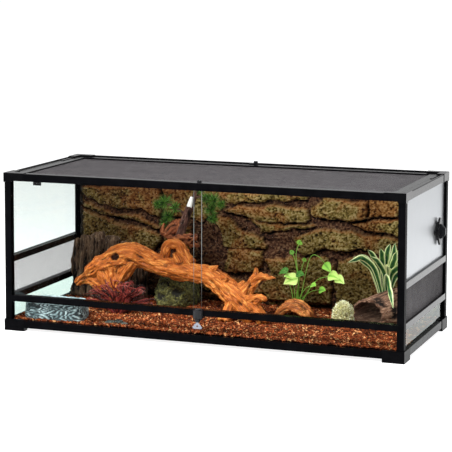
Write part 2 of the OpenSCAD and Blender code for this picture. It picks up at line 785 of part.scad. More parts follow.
// Relief of the rock panel: tilted strata, each bulging above a dark crevice
function dip(x) = x < 0 ? -0.36 * x : -54 * (1 - exp(-x / 150));
function strata(x, z) =
    (z - dip(x) + 9 * sin(0.9 * x + 0.7 * z) + 5 * sin(2.3 * x - 0.4 * z)) / 82;
function bulge(u) = u < 0.14 ? u / 0.14 : pow(1 - (u - 0.14) / 0.87, 0.45);
function rock_relief(x, z) =
    let(s = strata(x, z), k = floor(s), u = s - k,
        full = rock_d * (0.68 + 0.2 * sin(0.8 * x + 140 * k) + 0.12 * sin(2.1 * x + 77 * k)),
        end = min(1, 0.4 + (inner_x - 1 - abs(x)) / 50))
    end * min(rock_skin + (full - rock_skin) * bulge(u), rock_foot_d + max(0, z - rock_z0 - 10) * 2);

module rock_background() {
    half = inner_x - 1;
    nx = 64;
    nz = 24;
    part([0.28, 0.24, 0.12])
        loft([for (i = [0:nx]) let(x = -half + 2 * half * i / nx)
            concat([[x, rock_back, rock_z0], [x, rock_back, rock_z1]],
                [for (j = [nz:-1:0]) let(z = rock_z0 + (rock_z1 - rock_z0) * j / nz)
                    [x, rock_back - rock_relief(x, z), z]])]);
}

// Mossy boulder on the chips before the rock, with a flat top that carries the branch
boulder_rx = 66;
boulder_ry = 80;
boulder_x = cork_w + 24 + boulder_rx;   // from the left wall, clear of the cork slab
boulder_y = -44;                        // from the rock face
module mossy_boulder() {
    levels = [[seat, 0.97], [seat + 19, 1.03], [seat + 45, 1], [seat + 71, 0.86],
        [boulder_top - 6, 0.78], [boulder_top, 0.68]];
    part([0.2, 0.19, 0.09]) from_left() from_rock() difference() {
        loft([for (l = levels) [for (i = [0:15]) let(a = 22.5 * i,
                g = l[1] * (1 + 0.07 * sin(3 * a + 2 * l[0]) + 0.05 * sin(5 * a)))
            [boulder_x + boulder_rx * g * cos(a), boulder_y + boulder_ry * g * sin(a), l[0]]]]);
        translate([0, -0.4, 0]) span([0, 0, 0], [2 * boulder_x, boulder_ry, boulder_top + 1]);
    }
}

// Bark chips: a level bed, raised in low mounds along the front glass
function chips_z(x, y) = ground + (y > -inner_y + 62 ? 0 :
    max(0, 1 - pow((y + inner_y - 14) / 44, 2)) * max(0, min(1, (x + hx - 290) / 60))
        * (3.2 + 1.6 * sin(1.7 * x) + 1.2 * sin(3.9 * x + 2 * y)));
module substrate() {
    half = inner_x - 0.3;
    y0 = -inner_y + 0.3;
    y1 = inner_y - 0.3;
    nx = 72;
    rows = [y1, -inner_y + 62, -inner_y + 50, -inner_y + 38, -inner_y + 26, -inner_y + 14, -inner_y + 6, y0];
    part([0.5, 0.22, 0.1]) loft([for (i = [0:nx]) let(x = -half + 2 * half * i / nx)
        concat([[x, y0, base_z + base_t], [x, y1, base_z + base_t]],
            [for (y = rows) [x, y, chips_z(x, y)]])]);
}

// ---- Interior pieces that stand on the chips ----
// Pieces beside a wall keep their distance from it
module from_left() translate([-inner_x, 0, 0]) children();
module from_right() translate([inner_x, 0, 0]) children();
module from_rock() translate([0, rock_front, 0]) children();
module on_ground() difference() {
    children();
    span([-hx, -hy, -50], [hx, hy, seat]);
}
wood = [0.72, 0.38, 0.14];
trunk = [[-484, -12, 101, 8], [-448, -8, 129, 18], [-409, 0, 159, 28], [-361, 10, 184, 35],
    [-315, 18, 198, 35], [-274, 23, 188, 31], [-233, 26, 172, 29], [-189, 28, 162, 29],
    [-143, 28, 157, 30], [-100, 24, 153, 27], [-59, 17, 148, 29], [-23, 8, 131, 31],
    [13, -5, 109, 34], [51, -15, 84, 38], [82, -22, 56, 36], [96, -26, 36, 30]];
leg = [[-372, 6, 170, 34, 26], [-364, 0, 134, 28, 24], [-360, -8, 106, 20, 20], [-362, -12, 80, 17, 17],
    [-366, -12, 30, 24, 22]];
horn = [[-216, 30, 174, 15], [-219, 32, 206, 10], [-214, 34, 232, 10], [-196, 36, 244, 10],
    [-172, 37, 245, 11], [-154, 36, 235, 13], [-146, 34, 211, 14], [-128, 31, 178, 18]];
horn_web = [[-178, 36, 219, 5], [-173, 35, 202, 12], [-166, 32, 182, 17], [-160, 30, 160, 18]];
spike_a = [[54, -15, 98, 26], [71, -10, 132, 18], [84, -5, 153, 12], [90, 0, 174, 7], [87, 2, 188, 3]];
spike_b = [[76, -10, 134, 14], [99, -10, 158, 11], [125, -14, 167, 8], [141, -17, 165, 6],
    [158, -20, 163, 3]];
spike_c = [[74, -22, 90, 24], [104, -35, 102, 14], [122, -40, 108, 8], [136, -44, 105, 4]];
root_l = [[30, -20, 92, 22], [22, -44, 62, 18], [14, -58, 30, 20]];
root_r = [[78, -24, 80, 26], [112, -40, 62, 20], [132, -46, 30, 18]];
module driftwood() {
    part(wood) on_ground() union() {
        limb(trunk, 14, 2);
        limb(leg, 10, 2);
        limb(horn, 8, 2, [0, 1, 0], 0.08);
        limb(horn_web, 8, 2);
        limb(spike_a, 8, 2);
        limb(spike_b, 7, 2);
        limb(spike_c, 7, 2);
        limb(root_l, 8, 2, [1, 0, 0]);
        limb(root_r, 8, 2, [1, 0.3, 0]);
        limb([[40, -2, 112, 20], [47, 0, 132, 12], [52, 1, 144, 5]], 7, 2, [0, 1, 0], 0.1);
    }
}

// Cork slab of upright ribs grown together, leaning towards the rock
// Ribs as [top x, base x, half width] in shares of the slab's width, then [top z, half depth]
ribs = [[0.087, 0.08, 0.054, 208, 14], [0.2, 0.178, 0.087, 219, 19], [0.353, 0.331, 0.109, 228, 23],
    [0.531, 0.535, 0.124, 222, 25], [0.713, 0.731, 0.113, 206, 24], [0.862, 0.887, 0.095, 178, 18]];
cork_y = -41;                           // from the rock face
cork_lean = 10;
module cork_bark() {
    part([0.3, 0.24, 0.17]) on_ground() from_left() from_rock() union()
        for (r = ribs)
            let(top = r[0] * cork_w, base = r[1] * cork_w, w = r[2] * cork_w, z = r[3], d = r[4])
            limb([[base, cork_y - cork_lean, 20, d + 3, w + 2],
                [base * 0.7 + top * 0.3, cork_y - 4, 90, d, w],
                [(top + base) / 2, cork_y, 150, d + 1, w],
                [top, cork_y + 3, z - 10, d - 3, w - 4],
                [top, cork_y + 4, z, d * 0.5, w * 0.6]], 10, 3, [1, 0, 0], 0.08);
}

// Rock-like water dish with a flat floor and a rolled rim
dish_x = -inner_x + 27 + dish_w / 2;
dish_y = -pane_y + 5.5 + dish_d / 2;
function dish_ring(w, d, z, rough) = [for (i = [0:27]) let(a = 360 * i / 28,
        c = cos(a), s = sin(a), q = 1 / pow(pow(abs(c), 3.2) + pow(abs(s), 3.2), 1 / 3.2),
        g = 1 + rough * sin(7 * a + 9 * z))
    [dish_x + w / 2 * q * c * g, dish_y + d / 2 * q * s * g, z]];
module water_dish() {
    iw = dish_w - 2 * dish_wall;
    id = dish_d - 2 * dish_wall;
    rim = seat + dish_h;
    part([0.45, 0.52, 0.54]) loft([dish_ring(dish_w - 12, dish_d - 10, seat, 0),
        dish_ring(dish_w - 4, dish_d - 4, seat + 5, 0.012),
        dish_ring(dish_w - 6, dish_d - 5, seat + 22, 0.014),
        dish_ring(dish_w - 8, dish_d - 7, rim - 6, 0.01), dish_ring(dish_w - 11, dish_d - 10, rim, 0.005),
        dish_ring(iw + 4, id + 4, rim - 1, 0.005), dish_ring(iw, id, rim - 8, 0),
        dish_ring(iw - 10, id - 10, rim - 24, 0), dish_ring(iw - 34, id - 30, seat + 10, 0)]);
}

// Tube of cork lying on the chips, open at both ends, its line measured from the right wall
tube_line = [[-175, -28, 74], [-149, -16, 77], [-117, 8, 81], [-83, 36, 86], [-59, 54, 88]];
tube_r = [40, 44, 49, 53, 52];
tube_wall = 8;
module cork_tube_hide() {
    d = unit(tube_line[4] - tube_line[0]);
    u = unit(cross([0, 0, 1], d));
    v = cross(d, u);
    outer = [for (j = [0:4]) [for (i = [0:17]) let(a = 20 * i, r = tube_r[j] * gnarl(a, j, 0.05))
        tube_line[j] + u * r * cos(a) + v * r * sin(a)]];
    inner = [for (j = [4:-1:0]) [for (i = [0:17]) let(a = 20 * i, r = tube_r[j] - tube_wall)
        tube_line[j] + u * r * cos(a) + v * r * sin(a)]];
    part([0.36, 0.24, 0.17]) on_ground() from_right() loft(concat(outer, inner), closed = true);
}

// Low wooden hide: a dome with an arched burrow from the front
hide_c = [196, 44];
hide_rx = 58;
hide_ry = 44;
hide_h = 61;
burrow_r = 19;
burrow_spring = 16;                     // height where the arch of the burrow starts
module low_wood_hide() {
    n = 20;
    levels = [[0, 1], [0.26, 0.98], [0.52, 0.9], [0.75, 0.74], [0.92, 0.5], [1, 0.22]];
    part([0.66, 0.34, 0.15]) translate([hide_c[0], hide_c[1], seat]) difference() {
        loft([for (l = levels) [for (i = [0:n - 1]) let(a = 360 * i / n,
                g = l[1] * (1 + 0.06 * sin(3 * a + 250 * l[0]) + 0.04 * sin(5 * a)))
            [hide_rx * g * cos(a), hide_ry * g * sin(a), hide_h * l[0]]]]);
        translate([0, -hide_ry - 10, burrow_spring]) rotate([-90, 0, 0])
            cylinder(h = hide_ry + 20, r = burrow_r, $fn = 40);
        span([-burrow_r, -hide_ry - 10, -1], [burrow_r, 10, burrow_spring]);
    }
}

// Upright branch on the boulder, with twigs and bunches of needles, measured from the rock face;
// x is 0 at pine_x from the left wall
pine_x = boulder_x + 214;
pine_main = [[-208, -72, 118, 18], [-204, -80, 168, 16], [-196, -91, 208, 17], [-187, -95, 250, 16],
    [-173, -90, 298, 13], [-163, -78, 340, 10], [-158, -69, 367, 6]];
pine_twigs = [
    [[-190, -94, 238, 15], [-217, -95, 250, 12], [-240, -94, 262, 9], [-238, -92, 284, 4]],
    [[-188, -94, 240, 15], [-152, -93, 234, 14], [-126, -95, 229, 8]],
    [[-190, -92, 252, 12], [-204, -90, 276, 9], [-206, -88, 296, 4]],
    [[-172, -88, 288, 8], [-162, -66, 332, 9], [-152, -50, 376, 8], [-132, -50, 390, 5]],
    [[-168, -82, 312, 6], [-205, -76, 330, 4], [-244, -72, 346, 3]],
    [[-204, -76, 328, 4], [-226, -74, 310, 3], [-240, -74, 290, 2]],
    [[-154, -54, 366, 6], [-122, -58, 364, 5], [-88, -62, 358, 3]],
    [[-122, -58, 364, 4], [-104, -62, 332, 3], [-94, -64, 300, 2]]];
// Bunches as [x, y, z, reach]
bunches = [[-244, -72, 345, 36], [-268, -72, 338, 26], [-210, -76, 330, 30], [-232, -74, 304, 30],
    [-244, -74, 286, 26], [-138, -50, 388, 28], [-92, -62, 357, 34], [-116, -58, 362, 28],
    [-100, -62, 328, 32], [-92, -64, 302, 26], [-66, -64, 346, 22]];
// Bunch of needles: spikes that stand on the faces of a small twenty-sided core
core_r = 5;
gold = (1 + sqrt(5)) / 2;
core = [for (p = [[-1, gold, 0], [1, gold, 0], [-1, -gold, 0], [1, -gold, 0], [0, -1, gold],
    [0, 1, gold], [0, -1, -gold], [0, 1, -gold], [gold, 0, -1], [gold, 0, 1], [-gold, 0, -1],
    [-gold, 0, 1]]) unit(p)];
core_faces = [[0, 11, 5], [0, 5, 1], [0, 1, 7], [0, 7, 10], [0, 10, 11], [1, 5, 9], [5, 11, 4],
    [11, 10, 2], [10, 7, 6], [7, 1, 8], [3, 9, 4], [3, 4, 2], [3, 2, 6], [3, 6, 8], [3, 8, 9],
    [4, 9, 5], [2, 4, 11], [6, 2, 10], [8, 6, 7], [9, 8, 1]];
module bunch(b, turn) {
    translate(place(b)) rotate([turn, turn * 0.6, 0]) polyhedron(
        points = concat([for (p = core) p * core_r],
            [for (i = [0:19]) let(f = core_faces[i]) unit(core[f[0]] + core[f[1]] + core[f[2]])
                * b[3] * (0.84 + 0.16 * sin(77 * i + turn))]),
        faces = [for (i = [0:19]) let(f = core_faces[i])
            each [[f[1], f[0], 12 + i], [f[2], f[1], 12 + i], [f[0], f[2], 12 + i]]],
        convexity = 10);
}
module pine_branch() {
    part([0.2, 0.3, 0.1]) from_left() from_rock() translate([pine_x, 0, 0]) union() {
        difference() {
            limb(pine_main, 10, 2);
            span([-hx, -hy, 0], [0, hy, boulder_top + 0.3]);
        }
        for (t = pine_twigs) limb(t, 6, 2, [0, 1, 0], 0.06);
        for (i = [0:len(bunches) - 1]) bunch(bunches[i], 37 * i);
    }
}

// Pointed leaf through rows of [x, y, z, half width], 2 mm thick
module leaf(P, k = 2, ref = [0, 1, 0], th = 1) {
    Q = smooth(P, k);
    m = len(Q) - 1;
    loft([for (j = [0:m])
        let(t = unit(place(Q[min(j + 1, m)]) - place(Q[max(j - 1, 0)])),
            u = unit(cross(ref, t)), v = cross(t, u), w = max(Q[j][3], 0.6))
        [place(Q[j]) + u * w, place(Q[j]) + v * th, place(Q[j]) - u * w, place(Q[j]) - v * th]]);
}

red_x = 261;                            // from the left wall
red_y = -66;
red_n = 19;
red_reach = 112;
red_h = 62;                             // height of the outermost leaves
red_rise = 52;                          // how much higher the middle ones stand
module red_plant() {
    part([0.45, 0.13, 0.1]) on_ground() from_left() translate([red_x, red_y, 0]) union() {
        for (i = [0:red_n - 1])
            let(q = -80 + 160 * i / (red_n - 1), deep = 26 * sin(97 * i),
                tall = red_h + red_rise * cos(q) + 9 * sin(71 * i),
                reach = red_reach * (1 + 0.1 * sin(133 * i)))
                leaf([[10 * sin(q), 0, 26, 5],
                    [0.38 * red_reach * sin(q), deep * 0.4, seat + 0.5 * tall, 4.5],
                    [reach * sin(q), deep, seat + tall, 0.8]], 2);
        translate([0, 0, seat]) cylinder(h = 10, r1 = 16, r2 = 9, $fn = 24);
    }
}

leafy_base = [176, 112];
// Stems as way points after the foot, and the leaf at the end of each as offsets and half widths
leafy = [
    [[[174, 104, 100], [172, 90, 143]], [[22, 2, 7, 6], [0, 0, 0, 17], [-26, -6, -11, 3]]],
    [[[184, 104, 100], [192, 91, 160]], [[-18, -1, -5, 6], [0, 0, 0, 13], [20, 1, -3, 2]]],
    [[[166, 104, 100], [146, 96, 166]], [[16, 2, 4, 5], [0, 0, 0, 11], [-18, -2, -10, 2]]],
    [[[186, 108, 120], [178, 104, 214], [190, 100, 250]], [[-6, 2, -6, 1], [0, 0, 0, 6], [10, -1, 12, 1]]],
    [[[186, 108, 110], [176, 106, 190], [164, 106, 220]], [[-6, 2, -6, 1], [0, 0, 0, 7], [12, -1, 8, 1]]],
    [[[196, 104, 100], [222, 98, 206], [250, 92, 216], [278, 84, 192]],
        [[-12, 4, 16, 4], [0, 0, 0, 10], [20, -2, -16, 2]]],
    [[[206, 104, 90], [246, 92, 144], [290, 79, 162]], [[-22, 5, -4, 5], [0, 0, 0, 15], [24, -3, -12, 2]]]];
module leafy_plant() {
    part([0.2, 0.5, 0.14]) union() {
        on_ground() for (s = leafy)
            limb([for (p = concat([[leafy_base[0] + (s[0][0][0] - leafy_base[0]) * 0.3, leafy_base[1], 24]],
                s[0])) [p[0], p[1], p[2], 1.6]], 5, 3, [0, 1, 0], 0);
        for (s = leafy) let(e = s[0][len(s[0]) - 1])
            leaf([for (r = s[1]) [e[0] + r[0], e[1] + r[1], e[2] + r[2], r[3]]], 3, [0, 0.5, 1], 1.2);
        translate([leafy_base[0], leafy_base[1], seat]) cylinder(h = 6, r1 = 18, r2 = 10, $fn = 24);
    }
}

sword_base = [-133, 122];
crown_r = 9;
// Blades as [bearing at the crown, way points], measured from the right wall
swords = [[250, [-155, 84, 190], [-183, 56, 226], [-221, 32, 214]], [215, [-167, 100, 186], [-175, 82, 216],
        [-193, 62, 236]],
    [180, [-155, 118, 190], [-165, 102, 226], [-177, 84, 246]], [150, [-143, 124, 180], [-141, 112, 228],
        [-141, 96, 250]],
    [40, [-117, 118, 190], [-105, 108, 232], [-99, 98, 268]], [10, [-105, 112, 180], [-89, 98, 226],
        [-79, 88, 262]],
    [340, [-103, 102, 160], [-75, 88, 190], [-59, 76, 194]], [300, [-109, 92, 158], [-93, 52, 160],
        [-85, 4, 148]],
    [90, [-131, 132, 190], [-129, 132, 226], [-127, 132, 240]]];
module variegated_plant() {
    part([0.35, 0.55, 0.25]) on_ground() from_right() union() {
        for (s = swords) let(b = sword_base, c = [crown_r * cos(s[0]), crown_r * sin(s[0]), 0])
            leaf([[b[0] + c[0], b[1] + c[1], 24, 3], [b[0] + 1.6 * c[0], b[1] + 1.6 * c[1], 100, 4],
                [s[1][0], s[1][1], s[1][2], 9], [s[2][0], s[2][1], s[2][2], 9],
                [s[3][0], s[3][1], s[3][2], 1]], 2, [0, 1, 0.2], 1.2);
        translate([sword_base[0], sword_base[1], seat]) cylinder(h = 24, r1 = 15, r2 = 11, $fn = 24);
    }
}

// Pale moss between the low hide and the mouth of the tube
moss_rx = 27;
moss_ry = 24;
moss_y = 40;
moss_x = let(lo = hide_c[0] + hide_rx, hi = inner_x + tube_line[0][0]) lo + 0.6 * (hi - lo);
module moss_clump() {
    levels = [[0, 0.9], [14, 1.05], [30, 1], [44, 0.8], [54, 0.5], [59, 0.2]];
    part([0.78, 0.76, 0.45]) loft([for (l = levels) [for (i = [0:17]) let(a = 20 * i,
            g = l[1] * (1 + 0.1 * sin(4 * a + 5 * l[0]) + 0.06 * sin(7 * a + 60)))
        [moss_x + moss_rx * g * cos(a), moss_y + moss_ry * g * sin(a), seat + l[0]]]]);
}

foot(-1, -1);  // foot_front_left
foot(1, -1);  // foot_front_right
foot(-1, 1);  // foot_back_left
foot(1, 1);  // foot_back_right
bottom_rail(0, -1);  // bottom_rail_front
bottom_rail(0, 1);  // bottom_rail_back
bottom_rail(-1, 0);  // bottom_rail_left
bottom_rail(1, 0);  // bottom_rail_right
base_pane();
post(-1, -1);  // post_front_left
post(1, -1);  // post_front_right
post(-1, 1);  // post_back_left
post(1, 1);  // post_back_right
top_rail(0, -1);  // top_rail_front
top_rail(0, 1);  // top_rail_back
top_rail(-1, 0);  // top_rail_left
top_rail(1, 0);  // top_rail_right
cap(-1, -1);  // cap_front_left
cap(1, -1);  // cap_front_right
cap(-1, 1);  // cap_back_left
cap(1, 1);  // cap_back_right
corner_screws();
door_bar();
lower_front_pane();
back_pane();
side_bars(-1);  // side_bars_left
side_bars(1);  // side_bars_right
lower_side_panes();
upper_pane(-1);  // upper_pane_left
upper_pane(1);  // upper_pane_right
vent_mesh(-1);  // vent_mesh_left
vent_mesh(1);  // vent_mesh_right
door(-1);  // door_left
door(1);  // door_right
lock_housing();
lock_cylinder();
key();
port_flange();
port_nut();
port_cover();
lid_frame();
lid_mesh();
latch(-1);  // latch_front
latch(1);  // latch_back
inlet_shutter(-1);  // inlet_shutter_left
inlet_shutter(1);  // inlet_shutter_right
door_stop_clip();
rock_background();
mossy_boulder();
substrate();
driftwood();
cork_bark();
water_dish();
cork_tube_hide();
low_wood_hide();
pine_branch();
red_plant();
leafy_plant();
variegated_plant();
moss_clump();
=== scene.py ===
import bpy
import math
import numpy as np
from mathutils import Euler, Matrix


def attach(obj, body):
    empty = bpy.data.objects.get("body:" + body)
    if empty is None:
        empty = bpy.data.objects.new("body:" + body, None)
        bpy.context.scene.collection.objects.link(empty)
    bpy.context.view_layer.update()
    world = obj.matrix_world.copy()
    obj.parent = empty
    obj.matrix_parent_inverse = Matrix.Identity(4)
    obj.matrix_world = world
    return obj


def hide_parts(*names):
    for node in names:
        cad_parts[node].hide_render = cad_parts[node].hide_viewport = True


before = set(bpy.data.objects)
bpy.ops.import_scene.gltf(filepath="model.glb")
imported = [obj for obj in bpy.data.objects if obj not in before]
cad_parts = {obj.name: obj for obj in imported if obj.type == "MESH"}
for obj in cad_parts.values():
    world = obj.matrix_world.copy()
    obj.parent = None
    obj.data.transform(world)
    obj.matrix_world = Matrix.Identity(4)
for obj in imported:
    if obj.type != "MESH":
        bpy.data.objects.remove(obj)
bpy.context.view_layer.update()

# Points below are in millimetres from the middle of the tank's floor plan; OFFSET takes them to
# the row frame.
OFFSET = np.array([-7.5, 6.5, 0.0])
FLOOR = 32.7    # top of the base pane, which carries dish and pebbles
GROUND = 32.5   # level that woods and plants are cut at
WALL = 579.0    # inner face of a side wall
WALL_L, WALL_R = -WALL, WALL
CAMERA, PITCH, YAW, ROLL = (1758.7, -4763.9, 1113.1), 5.5658, 20.3082, 0.1632
LENS_PX, SHIFT_PX, FRAME_PX = 1753.9, (-0.3, -106.6), 452


def row(p):
    """Millimetres of the tank to metres of the row frame."""
    return (np.asarray(p, float) + OFFSET) / 1000.0


# ---- Camera ----
cam = bpy.data.objects.new("Camera", bpy.data.cameras.new("Camera"))
bpy.context.scene.collection.objects.link(cam)
turn = Euler((math.radians(90 - PITCH), 0, math.radians(YAW))).to_matrix()
cam.location = row(CAMERA)
cam.rotation_euler = (turn @ Matrix.Rotation(math.radians(ROLL), 3, "Z")).to_euler()
cam.data.sensor_width = 36
cam.data.lens = LENS_PX * cam.data.sensor_width / FRAME_PX
cam.data.shift_x, cam.data.shift_y = (v / FRAME_PX for v in SHIFT_PX)
cam.data.dof.use_dof = False
bpy.context.scene.camera = cam
bpy.context.scene.view_settings.view_transform = "Standard"


# ---- Numbers ----
def lattice(i):
    """A random number between -1 and 1 for each whole point."""
    h = np.sin(i[..., 0] * 127.1 + i[..., 1] * 311.7 + i[..., 2] * 74.7) * 43758.5453
    return 2 * (h - np.floor(h)) - 1


def vnoise(p):
    """Smooth noise."""
    i = np.floor(p)
    f = p - i
    f = f * f * (3 - 2 * f)
    out = 0
    for corner in np.ndindex(2, 2, 2):
        w = np.where(corner, f, 1 - f)
        out = out + w[..., 0] * w[..., 1] * w[..., 2] * lattice(i + corner)
    return out


def fbm(p, octaves):
    """Noise in finer and finer octaves."""
    out, amp, s = 0, 1.0, 1.0
    for k in range(octaves):
        out = out + amp * vnoise(p * s + 17.3 * k)
        amp *= 0.5
        s *= 2.03
    return out


def ridged(p, octaves):
    """Noise with sharp crests."""
    out, amp, s = 0, 1.0, 1.0
    for k in range(octaves):
        out = out + amp * (1 - 2 * np.abs(vnoise(p * s + 9.1 * k)))
        amp *= 0.5
        s *= 2.1
    return out


def smooth(P, k):
    """A curve through rows of numbers, with k steps from each to the next."""
    P = np.asarray(P, float)
    n = len(P)
    out = []
    for i in range(n - 1):
        a, b, c, d = P[max(i - 1, 0)], P[i], P[i + 1], P[min(i + 2, n - 1)]
        for s in range(k):
            t = s / k
            out.append(0.5 * (2 * b + (c - a) * t + (2 * a - 5 * b + 4 * c - d) * t * t
                              + (3 * b - a - 3 * c + d) * t ** 3))
    out.append(P[-1])
    return np.array(out)


def limit(v):
    return np.clip(v, 0, 1)


def unit(v):
    return v / (np.linalg.norm(v, axis=-1, keepdims=True) + 1e-12)


# ---- Meshes ----
def piece(name, V, F, mat, body="tank", shade=True, attrs=None, replaces=()):
    """V in millimetres; F an array of quads or triangles, or a list of both arrays."""
    me = bpy.data.meshes.new(name)
    V = row(V)
    faces = [np.asarray(f, int) for f in (F if isinstance(F, list) else [F])]
    loops = np.concatenate([f.ravel() for f in faces])
    sizes = np.concatenate([np.full(len(f), f.shape[1]) for f in faces])
    me.vertices.add(len(V))
    me.vertices.foreach_set("co", V.ravel())
    me.loops.add(len(loops))
    me.loops.foreach_set("vertex_index", loops)
    me.polygons.add(len(sizes))
    me.polygons.foreach_set("loop_start", np.concatenate([[0], np.cumsum(sizes)[:-1]]))
    me.polygons.foreach_set("loop_total", sizes)
    me.polygons.foreach_set("use_smooth", np.full(len(sizes), shade))
    me.materials.append(mat)
    for key, val in (attrs or {}).items():
        a = me.attributes.new(key, "FLOAT", "POINT")
        a.data.foreach_set("value", np.asarray(val, float).ravel())
    me.update(calc_edges=True)
    me.validate()
    ob = bpy.data.objects.new(name, me)
    bpy.context.scene.collection.objects.link(ob)
    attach(ob, body)
    if replaces:
        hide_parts(*replaces)
    return ob


def skin(n, m, closed_u=True, closed_v=False):
    """Quads over m rings of n points."""
    j, i = np.meshgrid(np.arange(m if closed_v else m - 1), np.arange(n if closed_u else n - 1),
                       indexing="ij")
    j, i = j.ravel(), i.ravel()
    j2, i2 = (j + 1) % m, (i + 1) % n
    return np.stack([j * n + i, j * n + i2, j2 * n + i2, j2 * n + i], 1)


def fan(start, n, flip):
    """End cap of a ring of n points."""
    a = np.arange(1, n - 1)
    f = np.stack([np.full(n - 2, start), start + a, start + a + 1], 1)
    return f[:, ::-1] if flip else f


def closed(n, m):
    """Skin of m rings of n points with both end caps."""
    return [skin(n, m), fan(0, n, True), fan((m - 1) * n, n, False)]


def copies(face, points, count):
    """The faces of like pieces of that many points each."""
    f = np.array(face)
    return (f + points * np.arange(count)[:, None, None]).reshape(-1, f.shape[-1])


def around(n):
    return np.linspace(0, 2 * np.pi, n, endpoint=False)


def frames(C, ref):
    """Along, across and up at each point of a centre line."""
    T = unit(np.gradient(C, axis=0))
    U = unit(np.cross(ref, T))
    return T, U, np.cross(T, U)


def aimed(L, ref):
    """A centre line and the direction it is measured across from, its own or the common one."""
    return L if isinstance(L, tuple) else (L, ref)


def tube(P, sides, k, ref=(0, 1, 0)):
    """Closed limb through rows of [x, y, z, r] or [x, y, z, ra, rb]."""
    Q = smooth(P, k)
    C = Q[:, :3]
    ra = np.maximum(Q[:, 3], 0.2)
    rb = np.maximum(Q[:, 4], 0.2) if Q.shape[1] > 4 else ra
    T, U, W = frames(C, ref)
    a = around(sides)
    V = (C[:, None] + U[:, None] * (ra[:, None] * np.cos(a))[..., None]
         + W[:, None] * (rb[:, None] * np.sin(a))[..., None])
    return V.reshape(-1, 3), closed(sides, len(C)), C, np.minimum(ra, rb)


BOX = np.array(list(np.ndindex(2, 2, 2))) - 0.5
BOX_FACES = np.array([[0, 1, 3, 2], [4, 6, 7, 5], [0, 4, 5, 1], [2, 3, 7, 6], [0, 2, 6, 4], [1, 5, 7, 3]])


def slab(grid, n, m, axis, level):
    """A sheet of m by n points, closed to a flat far side at that level of an axis."""
    edge = np.concatenate([np.arange(n), np.arange(1, m) * n + n - 1,
                           (m - 1) * n + np.arange(n - 2, -1, -1), np.arange(m - 2, 0, -1) * n])
    far = grid[edge].copy()
    far[:, axis] = level
    k, b = np.arange(len(edge)), len(grid)
    k2 = (k + 1) % len(k)
    rim = np.stack([edge, edge[k2], b + k2, b + k], 1)[:, ::-1]
    corners = b + np.array([0, n - 1, n + m - 2, 2 * n + m - 3])
    return np.concatenate([grid, far]), [skin(n, m, False), rim, corners[None, ::-1]], len(far)


def join(parts):
    V, F, o = [], {}, 0
    for v, fs in parts:
        V.append(v)
        for f in fs:
            F.setdefault(f.shape[1], []).append(f + o)
        o += len(v)
    return np.concatenate(V), [np.concatenate(f) for f in F.values()]


def fuse(parts, voxel):
    """One skin over closed pieces, by remeshing in voxels of that size (mm)."""
    V, F = join(parts)
    me = bpy.data.meshes.new("tmp")
    me.from_pydata((V / 1000).tolist(), [], [list(map(int, q)) for f in F for q in f])
    me.update()
    ob = bpy.data.objects.new("tmp", me)
    bpy.context.scene.collection.objects.link(ob)
    r = ob.modifiers.new("r", "REMESH")
    r.mode, r.voxel_size = "VOXEL", voxel / 1000
    s = ob.modifiers.new("s", "SMOOTH")
    s.factor, s.iterations = 0.5, 2
    ev = ob.evaluated_get(bpy.context.evaluated_depsgraph_get())
    out = bpy.data.meshes.new_from_object(ev)
    n = len(out.vertices)
    co, no = np.zeros(n * 3), np.zeros(n * 3)
    out.vertices.foreach_get("co", co)
    out.vertex_normals.foreach_get("vector", no)
    q = [tuple(p.vertices) for p in out.polygons]
    faces = [np.array([p for p in q if len(p) == k], int).reshape(-1, k) for k in (4, 3)]
    bpy.data.objects.remove(ob)
    bpy.data.meshes.remove(me)
    bpy.data.meshes.remove(out)
    return co.reshape(-1, 3) * 1000, no.reshape(-1, 3), [f for f in faces if len(f)]


CHUNK, APART = 20000, 331.0    # points measured at a time; shift of the grain from limb to limb


def along(V, lines):
    """For each point: place along the nearest centre line, angle round it and the line's radius."""
    best = np.full(len(V), 1e9)
    S, A, R = np.zeros(len(V)), np.zeros(len(V)), np.ones(len(V))
    for k, (C, r) in enumerate(lines):
        T, U, W = frames(C, (0.13, 1.0, 0.07))
        s = np.concatenate([[0], np.cumsum(np.linalg.norm(np.diff(C, axis=0), axis=1))]) + APART * k
        for lo in range(0, len(V), CHUNK):
            part = slice(lo, lo + CHUNK)
            v = V[part]
            d = np.linalg.norm(v[:, None] - C[None], axis=2) - r[None]
            j = d.argmin(1)
            near = d[np.arange(len(v)), j]
            w = v - C[j]
            new = near < best[part]
            best[part] = np.where(new, near, best[part])
            S[part] = np.where(new, s[j] + (w * T[j]).sum(1), S[part])
            A[part] = np.where(new, np.arctan2((w * W[j]).sum(1), (w * U[j]).sum(1)), A[part])
            R[part] = np.where(new, r[j], R[part])
    return S, A, R


